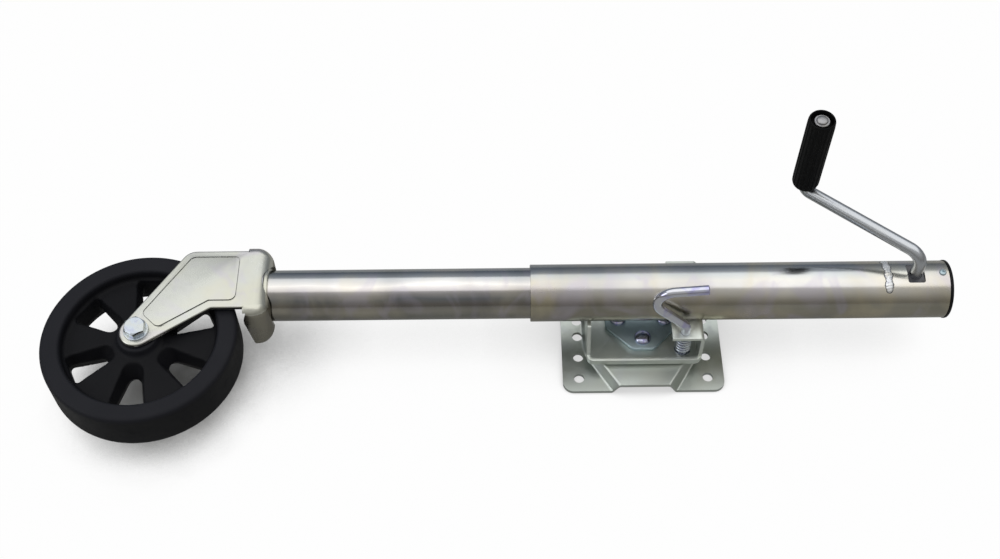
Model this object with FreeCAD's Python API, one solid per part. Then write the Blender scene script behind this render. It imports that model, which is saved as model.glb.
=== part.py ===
"""Side-wind trailer jack with a swivel bracket and a caster wheel.

Units are millimetres. The jack is shown wound out and lying on its mounting bracket.
+Z is the outward normal of the mounting face, +X runs along the tubes towards the crank,
and the origin is the swivel axis in the plane of the mounting face.
"""
import FreeCAD
import Part
import math
import os

Vector = FreeCAD.Vector
X_AXIS = Vector(1, 0, 0)
Y_AXIS = Vector(0, 1, 0)
Z_AXIS = Vector(0, 0, 1)

# Fits and gaps
slide_clearance = 0.15
running_clearance = 0.1
body_gap = 0.3
seat_clearance = 0.05
bolt_clearance = 0.25

# Tubes
outer_od = 57.15
outer_wall = 3.0
inner_wall = 2.6
pivot_to_lower_end = 115.0
crank_to_upper_end = 33.0
leg_exposed = 263.2
travel = 250.0

# Base bracket, one stamped plate
bracket_sheet = 4.0
bracket_half_x = 82.0
bracket_half_y = 75.0
bracket_corner = 11.0
platform_rise = 11.0
platform_half_x = 52.0
platform_slope_run = 8.0
platform_break_y = 27.0
platform_end_half_x = 22.5
ramp_wall = 2.2
mount_hole_d = 10.5
mount_column_x = 65.5
mount_first_y = 9.5
mount_pitch_y = 25.2
mount_rows_per_side = 3

# Swivel joint between bracket and saddle
pivot_hole_r = 33.0
retaining_disc_r = 45.0
retaining_disc_t = 3.5
lock_offset = 39.0
lock_hole_clearance = 0.6

# Saddle, a pan with folded plates that carry the tube
saddle_sheet = 3.5
saddle_half_x = 58.0
saddle_half_y = 52.0
saddle_corner = 7.0
saddle_lip = 6.0
saddle_depth = 52.2
top_plate_drop = 14.0
top_plate_inner_x = 26.0
top_plate_half_y = 47.5
fold_radius = 5.0
cradle_foot_y = 45.0

# Rivet plate and rivets
rivet_plate_t = 4.0
rivet_plate_reach = 37.0
rivet_plate_flat = 10.5
rivet_pitch_r = 24.0
rivet_shank_d = 10.0
rivet_head_d = 17.0
rivet_head_h = 5.0

# Lock pin with hooked handle
lock_pin_d = 9.5
lock_travel = 6.0
lock_clip_d = 16.5
lock_clip_t = 1.5
spring_wire = 2.0
spring_turns = 5.5
hook_start_rise = 10.5
hook_turn_x = -13.7
hook_turn_rise = 65.9
hook_end_x = 54.2
hook_end_rise = 73.1
hook_bend_r = 18.0
hook_first_bend_r = 10.0

# Lead screw, nut and thrust parts
screw_d = 16.0
screw_neck_d = 12.0
screw_collar_d = 28.0
screw_collar_t = 5.0
screw_past_nut = 6.0
thrust_washer_t = 3.0
nut_length = 26.0
nut_pin_d = 6.0
end_gap = 1.0
bearing_to_crank = 30.0
bearing_plate_t = 5.0
bearing_tab_angle = 42.0

# Bevel gears on a common apex
crank_x = 265.0
gear_module = 2.0
pinion_teeth = 12
screw_gear_teeth = 18
gear_face = 6.5
gear_addendum_factor = 0.8
gear_dedendum_factor = 1.0
gear_backlash = 0.35
pressure_angle = 20.0
gear_back = 2.0
screw_gear_hub_r = 11.0
gear_pin_d = 3.5

# Crank handle
crank_rod_d = 12.7
crank_journal_d = 10.0
crank_journal_rise = 18.0
crank_elbow_rise = 57.0
grip_elbow_rise = 53.0
crank_throw = 135.8
crank_angle = 139.6
crank_bend_r = 14.0
grip_bend_r = 8.5
window_x = 17.0
window_y = 21.0
window_corner = 2.0
upper_bush_t = 4.6
lower_bush_d = 14.0
lower_bush_flange_d = 20.0
lower_bush_flange_t = 2.5

# Grip
grip_od = 27.0
grip_length = 95.0
grip_start_rise = 62.0
grip_ribs = 18
grip_rib_depth = 1.0
grip_end_recess = 3.0
grip_recess_space = 1.3
grip_end_round = 4.0
grip_rivet_d = 15.0
grip_rivet_h = 4.0

# End cap
cap_rim_t = 3.5
cap_rim_over = 0.6
cap_skirt = 13.0
cap_skirt_t = 2.5
cap_rivet_d = 4.0
cap_rivet_head_d = 7.0
cap_rivet_head_h = 1.6
cap_rivet_inset = 6.5

# Caster yoke, drawn cap with one leg over the wheel
yoke_sheet = 4.0
yoke_half_y = 34.0
yoke_gap = 54.0
crown_half_y = 41.0
crown_edge_r = 16.0
crown_corner_r = 10.0
crown_seat_depth = 9.0
crown_skirt = 24.5
skirt_slope_run = 6.5
skirt_full_rise = 12.0
skirt_relief_start = 17.0
skirt_relief_run = 3.5
leg_hip_x = 84.0
leg_hip_r = 15.0
leg_waist_x = 55.5
leg_waist_r = 6.0
leg_end_r = 16.5
emboss_height = 0.8
emboss_margin = 8.0
emboss_hub_space = 26.0

# Swivel of the yoke on the leg
collar_r = 29.0
collar_t = 4.0
swivel_washer_t = 1.5
leg_plug_t = 12.0
kingpin_d = 20.0
kingpin_head_d = 32.0
kingpin_head_t = 4.5
kingpin_washer_t = 2.5

# Wheel and axle
axle_reach = 123.5
caster_trail = 60.0
wheel_d = 190.0
wheel_width = 46.0
wheel_shoulder_r = 5.0
rim_face_width = 18.0
rim_recess = 8.0
web_half_rim = 12.0
web_half_hub = 16.0
hub_d = 40.0
wheel_windows = 6
window_phase = -93.0
window_inner_r = 36.0
window_outer_r = 71.0
window_inner_half = 5.5
window_outer_half = 15.0
window_round = 5.0
window_flare = 3.5
axle_d = 12.0
axle_head_af = 19.0
axle_head_h = 7.5
axle_nut_h = 10.0
axle_washer_d = 24.0
axle_washer_t = 2.0
sleeve_wall = 2.0
bush_wall = 3.0
bush_flange_d = 27.0
bush_flange_t = 1.6
bush_length = 18.0

# Derived places
pivot_to_upper_end = crank_x + crank_to_upper_end
bearing_plate_x = crank_x - bearing_to_crank
outer_r = outer_od / 2
outer_bore_r = outer_r - outer_wall
inner_r = outer_bore_r - slide_clearance
inner_bore_r = inner_r - inner_wall
platform_z = bracket_sheet + platform_rise
web_under_z = platform_z + body_gap
web_z = web_under_z + saddle_sheet
axis_z = web_z + saddle_depth
top_plate_z = axis_z - top_plate_drop
disc_top_z = platform_z - bracket_sheet - body_gap
disc_under_z = disc_top_z - retaining_disc_t
leg_end_x = -(pivot_to_lower_end + leg_exposed)
collar_bar_x = bearing_plate_x - thrust_washer_t - screw_collar_t
leg_top_x = collar_bar_x - end_gap - travel
seat_x = leg_end_x - body_gap - swivel_washer_t
crown_x = seat_x + crown_seat_depth
yoke_half_z = yoke_gap / 2 + yoke_sheet
axle_x = crown_x - axle_reach
axle_y = -caster_trail
pinion_pitch_r = gear_module * pinion_teeth / 2
screw_gear_pitch_r = gear_module * screw_gear_teeth / 2
sleeve_r = axle_d / 2 + bolt_clearance + sleeve_wall
AXLE = Vector(axle_x, axle_y, axis_z)


def cylinder(radius, start, direction, length):
    """Solid cylinder from a start point along a direction."""
    return Part.makeCylinder(radius, length, start, direction)


def ring(outer, inner, start, direction, length):
    """Solid ring or tube."""
    hole = cylinder(inner, start - direction, direction, length + 2)
    return cylinder(outer, start, direction, length).cut(hole)


def along_tube(x, y=0.0, rise=0.0):
    """Point given by its place along the tube axis and its offsets from that axis."""
    return Vector(x, y, axis_z + rise)


def on_xy(z):
    """Placing of flat (u, v) coordinates on a plane of constant height."""
    return lambda p: Vector(p.x, p.y, z)


def on_xz(y):
    """Placing of flat (u, v) coordinates on a plane across Y."""
    return lambda p: Vector(p.x, y, p.y)


def on_yz(x):
    """Placing of flat (u, v) coordinates on a plane across X."""
    return lambda p: Vector(x, p.x, p.y)


def outline(points, radii, place):
    """Closed face through corner points, each corner rounded by its radius."""
    count = len(points)
    if not isinstance(radii, (list, tuple)):
        radii = [radii] * count
    starts, middles, ends = [], [], []
    for index, radius in enumerate(radii):
        corner = Vector(*points[index], 0)
        back = (Vector(*points[index - 1], 0) - corner).normalize()
        ahead = (Vector(*points[(index + 1) % count], 0) - corner).normalize()
        half = back.getAngle(ahead) / 2
        inward = (back + ahead).normalize()
        starts.append(corner + back * (radius / math.tan(half)))
        ends.append(corner + ahead * (radius / math.tan(half)))
        middles.append(corner + inward * (radius / math.sin(half) - radius))
    edges = []
    for index in range(count):
        if radii[index] > 0:
            arc = Part.Arc(place(starts[index]), place(middles[index]), place(ends[index]))
            edges.append(arc.toShape())
        following = starts[(index + 1) % count]
        if (following - ends[index]).Length > 1e-6:
            edges.append(Part.makeLine(place(ends[index]), place(following)))
    return Part.Face(Part.Wire(edges))


def rectangle(half_u, half_v, radius, place):
    """Rounded rectangle about the origin of its plane."""
    corners = [(-half_u, -half_v), (half_u, -half_v), (half_u, half_v), (-half_u, half_v)]
    return outline(corners, radius, place)


def revolved(points, start, direction):
    """Body of revolution from (radius, distance along the axis) points."""
    side = direction.cross(Vector(0.3, 0.5, 0.8)).normalize()
    wire = Part.makePolygon([start + side * r + direction * h for r, h in points + points[:1]])
    return Part.Face(wire).revolve(start, direction, 360)


def hexagon_prism(across_flats, start, direction, length):
    """Hexagon bar end, as on a bolt head or a nut."""
    side = direction.cross(Vector(0.0, 1.0, 0.0)).normalize()
    other = direction.cross(side)
    corner_r = across_flats / math.sqrt(3)
    corners = []
    for step in range(7):
        angle = math.radians(60 * step + 30)
        corners.append(start + side * (corner_r * math.cos(angle)) + other * (corner_r * math.sin(angle)))
    prism = Part.Face(Part.makePolygon(corners)).extrude(direction * length)
    crest = revolved([(0, -1), (corner_r * 1.2, -1), (corner_r * 1.2, length - corner_r * 0.2),
                      (across_flats / 2 * 0.96, length), (0, length)], start, direction)
    return prism.common(crest)


def domed_head(diameter, height, start, direction):
    """Rivet head, a low dome on a short cylinder."""
    radius = diameter / 2
    profile = [(0, 0), (radius, 0), (radius, height * 0.3), (radius * 0.78, height * 0.78),
               (radius * 0.4, height), (0, height)]
    return revolved(profile, start, direction)


def bent_rod(radius, corners, bends):
    """Round bar along straight runs joined by tangent arcs."""
    pieces = []
    cursor = corners[0]
    for index in range(1, len(corners) - 1):
        corner = corners[index]
        back = (corners[index - 1] - corner).normalize()
        ahead = (corners[index + 1] - corner).normalize()
        half = back.getAngle(ahead) / 2
        bend = bends[index - 1]
        start = corner + back * (bend / math.tan(half))
        centre = corner + (back + ahead).normalize() * (bend / math.sin(half))
        pieces.append(cylinder(radius, cursor, back * -1, (start - cursor).Length))
        section = Part.Face(Part.Wire(Part.makeCircle(radius, start, back)))
        turn = 180 - math.degrees(2 * half)
        pieces.append(section.revolve(centre, ahead.cross(back), turn))
        cursor = corner + ahead * (bend / math.tan(half))
    last = corners[-1] - cursor
    pieces.append(cylinder(radius, cursor, last, last.Length))
    return pieces[0].fuse(pieces[1:]).removeSplitter()


# Base bracket
def platform_outline(half_x, break_y, end_half_x, reach_y, z):
    """Wide middle that narrows along straight diagonals to both ends."""
    slope = (half_x - end_half_x) / (bracket_half_y - break_y)
    tip = end_half_x - slope * (reach_y - bracket_half_y)
    points = [(-half_x, -break_y), (-tip, -reach_y), (tip, -reach_y), (half_x, -break_y),
              (half_x, break_y), (tip, reach_y), (-tip, reach_y), (-half_x, break_y)]
    return outline(points, 0, on_xy(z))


def raised_form(inset, low_z, high_z, reach_y):
    """Tapered raised form, inset for the hollow under it."""
    def at(z):
        rise = (z - bracket_sheet) / platform_rise
        grow = platform_slope_run * (1 - rise) - inset
        return platform_outline(platform_half_x + grow, platform_break_y + grow,
                                platform_end_half_x + grow, reach_y, z)
    return Part.makeLoft([at(low_z).OuterWire, at(high_z).OuterWire], True, True)


def mount_hole_places():
    """Centres of the mounting holes, two columns of rows mirrored about the swivel axis."""
    places = []
    for column in (-mount_column_x, mount_column_x):
        for row in range(mount_rows_per_side):
            y = mount_first_y + row * mount_pitch_y
            places += [(column, -y), (column, y)]
    return places


def lock_places():
    """Lock holes of the bracket, one per quarter turn."""
    return [(sx * lock_offset, sy * lock_offset) for sx in (-1, 1) for sy in (-1, 1)]


def base_bracket():
    """Stamped mounting plate with a raised platform that the saddle turns on."""
    flange = rectangle(bracket_half_x, bracket_half_y, bracket_corner, on_xy(0))
    plate = flange.extrude(Z_AXIS * bracket_sheet)
    raised = raised_form(0, bracket_sheet * 0.5, platform_z, bracket_half_y)
    hollow = raised_form(ramp_wall + platform_slope_run * bracket_sheet / platform_rise,
                         -1.0, platform_rise, bracket_half_y + 2)
    body = plate.fuse(raised).cut(hollow)
    for x, y in mount_hole_places():
        body = body.cut(cylinder(mount_hole_d / 2, Vector(x, y, -1), Z_AXIS, bracket_sheet + 2))
    body = body.cut(cylinder(pivot_hole_r, Vector(0, 0, 0), Z_AXIS, platform_z + 1))
    for x, y in lock_places():
        radius = lock_pin_d / 2 + lock_hole_clearance
        body = body.cut(cylinder(radius, Vector(x, y, 5), Z_AXIS, platform_z))
    return body.removeSplitter()


# Swivel joint
def rivet_places():
    """Four rivets on a circle about the swivel axis."""
    return [Vector(rivet_pitch_r * math.cos(a), rivet_pitch_r * math.sin(a), 0)
            for a in (0, math.pi / 2, math.pi, 3 * math.pi / 2)]


def rivet_holes(low_z, height, clearance=bolt_clearance):
    """Holes for the four rivets as one tool."""
    tools = [cylinder(rivet_shank_d / 2 + clearance, place + Z_AXIS * low_z, Z_AXIS, height)
             for place in rivet_places()]
    return Part.makeCompound(tools)


def pivot_spacer():
    """Ring inside the pivot hole that keeps the sandwich free to turn."""
    height = web_under_z - disc_top_z
    body = cylinder(pivot_hole_r - body_gap, Vector(0, 0, disc_top_z), Z_AXIS, height)
    return body.cut(rivet_holes(disc_top_z - 1, height + 2))


def retaining_disc():
    """Disc under the platform that holds the saddle down."""
    body = cylinder(retaining_disc_r, Vector(0, 0, disc_under_z), Z_AXIS, retaining_disc_t)
    return body.cut(rivet_holes(disc_under_z - 1, retaining_disc_t + 2))


def rivet_plate():
    """Square plate set on its corner, with cut-off corners and softened edges."""
    a, b = rivet_plate_reach, rivet_plate_flat
    points = [(a, -b), (a, b), (b, a), (-b, a), (-a, b), (-a, -b), (-b, -a), (b, -a)]
    body = outline(points, 7.0, on_xy(web_z)).extrude(Z_AXIS * rivet_plate_t)
    top = [edge for edge in body.Edges if edge.BoundBox.ZMin > web_z + rivet_plate_t - 0.01]
    return body.makeChamfer(rivet_plate_t * 0.25, top).cut(rivet_holes(web_z - 1, rivet_plate_t + 2))


def pivot_rivets():
    """Four rivets with domed heads above and tails set flush in the disc."""
    solids = []
    top_z = web_z + rivet_plate_t
    for place in rivet_places():
        shank = cylinder(rivet_shank_d / 2, place + Z_AXIS * disc_under_z, Z_AXIS, top_z - disc_under_z)
        head = domed_head(rivet_head_d, rivet_head_h, place + Z_AXIS * top_z, Z_AXIS)
        solids.append(shank.fuse(head))
    return Part.makeCompound(solids)


# Saddle
def tube_space(extra=0.0):
    """Cylinder that the outer tube fills beside the saddle."""
    start = along_tube(-saddle_half_x * 2)
    return cylinder(outer_r + extra, start, X_AXIS, saddle_half_x * 4)


def saddle_pan():
    """Drawn tray with low lips and rounded corners."""
    outer = rectangle(saddle_half_x, saddle_half_y, saddle_corner, on_xy(web_under_z))
    tray = outer.extrude(Z_AXIS * (saddle_sheet + saddle_lip))
    low = [edge for edge in tray.Edges if edge.BoundBox.ZMax < web_under_z + 0.01]
    tray = tray.makeFillet(saddle_sheet * 0.9, low)
    inner = rectangle(saddle_half_x - saddle_sheet, saddle_half_y - saddle_sheet,
                      saddle_corner - saddle_sheet, on_xy(web_z))
    return tray.cut(inner.extrude(Z_AXIS * (saddle_lip + 1)))


def saddle_cradle():
    """End wall under the tube, high in the middle and falling to the lips."""
    shoulder = outer_r + saddle_sheet
    low_z = web_under_z + saddle_sheet / 2
    points = [(-cradle_foot_y, low_z), (cradle_foot_y, low_z), (cradle_foot_y, web_z + saddle_lip),
              (shoulder, top_plate_z), (-shoulder, top_plate_z), (-cradle_foot_y, web_z + saddle_lip)]
    wall = outline(points, [0, 0, 6, 3, 3, 6], on_yz(-saddle_half_x))
    return wall.extrude(X_AXIS * saddle_sheet)


def saddle_fold():
    """Side wall that folds over into the two top plates beside the tube."""
    x, t = saddle_half_x, saddle_sheet
    low_z = web_under_z + saddle_sheet / 2
    points = [(x, low_z), (x, top_plate_z), (top_plate_inner_x, top_plate_z),
              (top_plate_inner_x, top_plate_z - t), (x - t, top_plate_z - t), (x - t, low_z)]
    section = outline(points, [0, fold_radius, 0, 0, fold_radius - t, 0], on_xz(-top_plate_half_y))
    return section.extrude(Y_AXIS * (2 * top_plate_half_y))


def swivel_saddle():
    """Saddle in one piece, cut out for the tube, the rivets and the lock pin."""
    body = saddle_pan().fuse([saddle_cradle(), saddle_fold()])
    body = body.cut(tube_space(seat_clearance))
    body = body.cut(rivet_holes(web_under_z - 1, saddle_sheet + 2))
    pin_r = lock_pin_d / 2 + running_clearance
    start = Vector(lock_offset, -lock_offset, web_under_z - 1)
    return body.cut(cylinder(pin_r, start, Z_AXIS, axis_z)).removeSplitter()


# Lock pin
def lock_pin():
    """Pin drawn out of the bracket, with its bar bent into a hook for the hand."""
    y = -lock_offset
    corners = [Vector(lock_offset, y, web_under_z),
               Vector(lock_offset, y, top_plate_z + hook_start_rise),
               Vector(hook_turn_x, y, top_plate_z + hook_turn_rise),
               Vector(hook_end_x, y, top_plate_z + hook_end_rise)]
    rod = bent_rod(lock_pin_d / 2, corners, [hook_first_bend_r, hook_bend_r])
    groove = ring(lock_pin_d, lock_pin_d / 2 - 1, corners[0] + Z_AXIS * clip_rise(), Z_AXIS, lock_clip_t)
    return rod.cut(groove)


def clip_rise():
    """Height of the spring clip over the pin's tip."""
    return saddle_sheet + lock_travel + body_gap


def lock_pin_clip():
    """Ring in the pin's groove that the spring pushes on."""
    start = Vector(lock_offset, -lock_offset, web_under_z + clip_rise())
    return ring(lock_clip_d / 2, lock_pin_d / 2 - 1 + seat_clearance, start, Z_AXIS, lock_clip_t)


def lock_spring():
    """Compression spring between the clip and the top plate."""
    low_z = web_under_z + clip_rise() + lock_clip_t + body_gap / 2
    high_z = top_plate_z - saddle_sheet - body_gap / 2
    coil_r = lock_clip_d / 2 - spring_wire / 2
    height = high_z - low_z - spring_wire
    place = Vector(lock_offset, -lock_offset, low_z + spring_wire / 2)
    helix = Part.makeHelix(height / spring_turns, height, coil_r)
    helix.translate(place)
    start = place + X_AXIS * coil_r
    corners = []
    for step in range(7):
        angle = math.radians(60 * step)
        corners.append(start + Vector(math.cos(angle), 0, math.sin(angle)) * (spring_wire / 2))
    section = Part.makePolygon(corners)
    return Part.Wire(helix.Edges).makePipeShell([section], True, True)


# Tubes
def outer_tube():
    """Main tube with the crank window, the bearing slot and the cap rivet hole."""
    length = pivot_to_lower_end + pivot_to_upper_end
    start = along_tube(-pivot_to_lower_end)
    body = ring(outer_r, outer_bore_r, start, X_AXIS, length)
    opening = rectangle(window_x / 2, window_y / 2, window_corner, on_xy(axis_z))
    opening.translate(Vector(crank_x, 0, 0))
    body = body.cut(opening.extrude(Z_AXIS * outer_od))
    foot = cylinder(lower_bush_d / 2 + seat_clearance, along_tube(crank_x), -Z_AXIS, outer_od)
    body = body.cut(foot)
    body = body.cut(bearing_tabs(seat_clearance, outer_bore_r - 1, outer_r + 1))
    rivet = cylinder(cap_rivet_d / 2 + seat_clearance, along_tube(cap_rivet_x()), Z_AXIS, outer_od)
    return body.cut(rivet)


def inner_tube():
    """Leg tube that slides in the main tube."""
    body = ring(inner_r, inner_bore_r, along_tube(leg_end_x), X_AXIS, leg_top_x - leg_end_x)
    return body.cut(nut_pin_tool(seat_clearance, inner_r + 1))


# Bearing plate
def bearing_tabs(clearance, inner, outer):
    """Two arc-shaped tabs, above and below, that stand in slots of the tube."""
    start = along_tube(bearing_plate_x - clearance)
    band = ring(outer, inner, start, X_AXIS, bearing_plate_t + 2 * clearance)
    half = math.radians(bearing_tab_angle) + clearance / outer_r
    reach = outer * 1.5
    wedge = outline([(0, 0), (-reach * math.sin(half), reach * math.cos(half)),
                     (reach * math.sin(half), reach * math.cos(half))], 0, on_yz(start.x - 1))
    wedge = wedge.extrude(X_AXIS * (bearing_plate_t + 4))
    wedge.translate(Z_AXIS * axis_z)
    return band.common(wedge)


def bearing_plate():
    """Plate across the tube that takes the screw's thrust, welded in through its slot."""
    start = along_tube(bearing_plate_x)
    disc = cylinder(outer_bore_r - seat_clearance, start, X_AXIS, bearing_plate_t)
    body = disc.fuse(bearing_tabs(0, outer_bore_r - 2, outer_r))
    bore = cylinder(screw_neck_d / 2 + running_clearance, start - X_AXIS, X_AXIS, bearing_plate_t + 2)
    return body.cut(bore).removeSplitter()


# Lead screw group
def gear_back_x():
    """Place of the screw gear's hub end, just clear of the bearing plate."""
    return bearing_plate_x + bearing_plate_t + body_gap


def screw_tip_x():
    """Lower end of the screw, past the nut when the jack is wound out."""
    return leg_top_x - nut_length - screw_past_nut


def lead_screw():
    """Lead screw with its collar and the neck that carries the gear."""
    points = [(0, screw_tip_x()), (screw_d / 2 - 1.5, screw_tip_x()), (screw_d / 2, screw_tip_x() + 1.5),
              (screw_d / 2, collar_bar_x), (screw_collar_d / 2, collar_bar_x),
              (screw_collar_d / 2, collar_bar_x + screw_collar_t),
              (screw_neck_d / 2, collar_bar_x + screw_collar_t),
              (screw_neck_d / 2, screw_end_x()), (0, screw_end_x())]
    body = revolved(points, along_tube(0), X_AXIS)
    return body.cut(gear_pin(seat_clearance))


def screw_end_x():
    """Upper end of the screw, level with the front of its gear."""
    return crank_x - crank_rod_d / 2 - 2.0


def thrust_washer():
    """Hardened washer between the screw collar and the bearing plate."""
    start = along_tube(collar_bar_x + screw_collar_t)
    length = thrust_washer_t - body_gap
    return ring(screw_collar_d / 2, screw_neck_d / 2 + seat_clearance, start, X_AXIS, length)


def gear_pin(clearance=0.0):
    """Cross pin through the screw gear's hub."""
    reach = screw_gear_hub_r
    middle = (gear_back_x() + gear_back_x() + hub_length(pinion_pitch_r, screw_gear_pitch_r)) / 2
    start = along_tube(middle, -reach + 0.3)
    return cylinder(gear_pin_d / 2 + clearance, start, Y_AXIS, 2 * reach - 0.6)


def lead_nut():
    """Nut in the top of the leg, drilled for its cross pins."""
    bore = screw_d / 2 + running_clearance
    start = along_tube(leg_top_x - nut_length)
    body = ring(inner_bore_r - seat_clearance, bore, start, X_AXIS, nut_length)
    return body.cut(nut_pin_tool(seat_clearance, inner_r + 1))


def nut_pin_tool(clearance, reach):
    """Pins through the tube wall into the nut, on three sides."""
    middle = along_tube(leg_top_x - nut_length / 2)
    inner = screw_d / 2 + 3.0
    pins = []
    for turn in range(3):
        angle = math.radians(120 * turn + 90)
        way = Vector(0, math.cos(angle), math.sin(angle))
        start = middle + way * (inner - clearance)
        pins.append(cylinder(nut_pin_d / 2 + clearance, start, way, reach - inner))
    return Part.makeCompound(pins)


def nut_pins():
    """Pins that lock the nut in the leg tube, flush with its skin."""
    skin = cylinder(inner_r - seat_clearance, along_tube(leg_top_x - nut_length), X_AXIS, nut_length)
    return Part.makeCompound([pin.common(skin) for pin in nut_pin_tool(0, inner_r + 1).Solids])


# Bevel gears
def cone_length():
    """Length of the common pitch cone."""
    return math.hypot(pinion_pitch_r, screw_gear_pitch_r)


def tooth_section(pitch_r, mate_r, teeth, angle):
    """Tooth outline at the large end, on the plane square to the pitch cone."""
    cone = math.atan2(pitch_r, mate_r)
    virtual_r = pitch_r / math.cos(cone)
    virtual_teeth = teeth / math.cos(cone)
    pressure = math.radians(pressure_angle)
    base_r = virtual_r * math.cos(pressure)
    tip_r = virtual_r + gear_addendum_factor * gear_module
    root_r = virtual_r - gear_dedendum_factor * gear_module - 0.8
    half_tooth = math.pi / (2 * virtual_teeth) - gear_backlash / (4 * virtual_r)
    flank = []
    for share in (0.0, 0.55, 1.0):
        r = max(root_r + share * (tip_r - root_r), root_r)
        roll = math.acos(min(1.0, base_r / r))
        turn = half_tooth + (math.tan(pressure) - pressure) - (math.tan(roll) - roll)
        flank.append((r * math.sin(turn), r * math.cos(turn) - virtual_r))
    sides = [(-t, h) for t, h in flank] + [(t, h) for t, h in reversed(flank)]
    pitch_point = Vector(pitch_r * math.cos(angle), pitch_r * math.sin(angle), -mate_r)
    rise = Vector(math.cos(angle) * math.cos(cone), math.sin(angle) * math.cos(cone), math.sin(cone))
    across = Vector(-math.sin(angle), math.cos(angle), 0)
    return [pitch_point + rise * h + across * t for t, h in sides]


def hub_length(mate_r, pitch_r):
    """Room for the screw gear's hub between its teeth and the bearing plate."""
    root_drop = gear_dedendum_factor * gear_module * pitch_r / cone_length()
    return crank_x - mate_r - root_drop - gear_back - gear_back_x()


def bevel_gear(pitch_r, mate_r, teeth, bore_r, hub_r, hub, phase):
    """Bevel gear about Z with its apex at the origin and its teeth towards it."""
    cone = math.atan2(pitch_r, mate_r)
    dedendum = gear_dedendum_factor * gear_module
    small = 1 - gear_face / cone_length()
    root_r = pitch_r - dedendum * math.cos(cone)
    root_z = -mate_r - dedendum * math.sin(cone)
    back_z = root_z - gear_back
    points = [(bore_r, root_z * small), (root_r * small, root_z * small), (root_r, root_z),
              (root_r, back_z), (hub_r, back_z), (hub_r, back_z - hub), (bore_r, back_z - hub)]
    blank = revolved(points, Vector(0, 0, 0), Z_AXIS)
    solids = []
    for index in range(teeth):
        angle = 2 * math.pi * (index + phase) / teeth
        large = tooth_section(pitch_r, mate_r, teeth, angle)
        wires = [Part.makePolygon([p * scale for p in large + large[:1]]) for scale in (1.0, small)]
        solids.append(Part.makeLoft(wires, True, True))
    return blank.fuse(solids).removeSplitter()


def screw_gear():
    """Driven bevel gear on the lead screw."""
    hub = hub_length(pinion_pitch_r, screw_gear_pitch_r)
    gear = bevel_gear(screw_gear_pitch_r, pinion_pitch_r, screw_gear_teeth,
                      screw_neck_d / 2 + seat_clearance, screw_gear_hub_r, hub, 0.0)
    gear.rotate(Vector(0, 0, 0), Y_AXIS, 90)
    gear.translate(along_tube(crank_x))
    return gear.cut(gear_pin(seat_clearance))


def crank_pinion():
    """Driving bevel pinion on the crank's bar."""
    pinion = bevel_gear(pinion_pitch_r, screw_gear_pitch_r, pinion_teeth,
                        crank_rod_d / 2 + seat_clearance, pinion_pitch_r * 0.8, 0.5, 0.5)
    pinion.rotate(Vector(0, 0, 0), Y_AXIS, 180)
    pinion.translate(along_tube(crank_x))
    return pinion.cut(pinion_pin(seat_clearance))


def pinion_pin(clearance=0.0):
    """Cross pin through pinion and bar."""
    rise = screw_gear_pitch_r + gear_pin_d / 2 + 0.4
    reach = pinion_pitch_r * 0.8
    start = along_tube(crank_x, -reach + 0.3, rise)
    return cylinder(gear_pin_d / 2 + clearance, start, Y_AXIS, 2 * reach - 0.6)


# Crank
def crank_hand():
    """Unit vector from the crank axis to the grip."""
    angle = math.radians(crank_angle)
    return Vector(math.cos(angle), math.sin(angle), 0)


def grip_axis(rise):
    """Point on the grip's axis."""
    return along_tube(crank_x, 0, rise) + crank_hand() * crank_throw


def crank_handle():
    """Round bar bent twice, with a turned-down journal at its foot."""
    end_rise = grip_start_rise + grip_length - grip_end_recess
    corners = [along_tube(crank_x, 0, -crank_journal_rise), along_tube(crank_x, 0, crank_elbow_rise),
               grip_axis(grip_elbow_rise), grip_axis(end_rise)]
    bar = bent_rod(crank_rod_d / 2, corners, [crank_bend_r, grip_bend_r])
    journal = cylinder(crank_journal_d / 2, corners[0] + Z_AXIS, -Z_AXIS, journal_reach() + 1)
    return bar.fuse(journal).cut(pinion_pin(seat_clearance)).removeSplitter()


def journal_reach():
    """Length of the journal down to the tube's outer skin."""
    return outer_r - crank_journal_rise - 1.0


def upper_bush():
    """Block in the tube's window that guides the crank's bar."""
    low = pinion_top_rise() + body_gap
    block = rectangle(window_x / 2 - body_gap, window_y / 2 - body_gap, window_corner, on_xy(axis_z + low))
    block.translate(Vector(crank_x, 0, 0))
    body = block.extrude(Z_AXIS * upper_bush_t)
    bore = cylinder(crank_rod_d / 2 + running_clearance, along_tube(crank_x), Z_AXIS, outer_od)
    return body.cut(bore)


def pinion_top_rise():
    """Height of the pinion's back over the tube axis."""
    drop = gear_dedendum_factor * gear_module * pinion_pitch_r / cone_length()
    return screw_gear_pitch_r + drop + gear_back + 0.5


def lower_bush():
    """Flanged bush in the tube's lower wall for the crank's journal."""
    flange_r = lower_bush_flange_d / 2
    seat = math.sqrt(outer_bore_r ** 2 - flange_r ** 2)
    bore_r = crank_journal_d / 2 + running_clearance
    flange = ring(flange_r, bore_r, along_tube(crank_x, 0, -seat), Z_AXIS, lower_bush_flange_t)
    barrel = ring(lower_bush_d / 2, bore_r, along_tube(crank_x, 0, -seat + 1), -Z_AXIS, outer_r - seat)
    return flange.fuse(barrel).removeSplitter()


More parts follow.
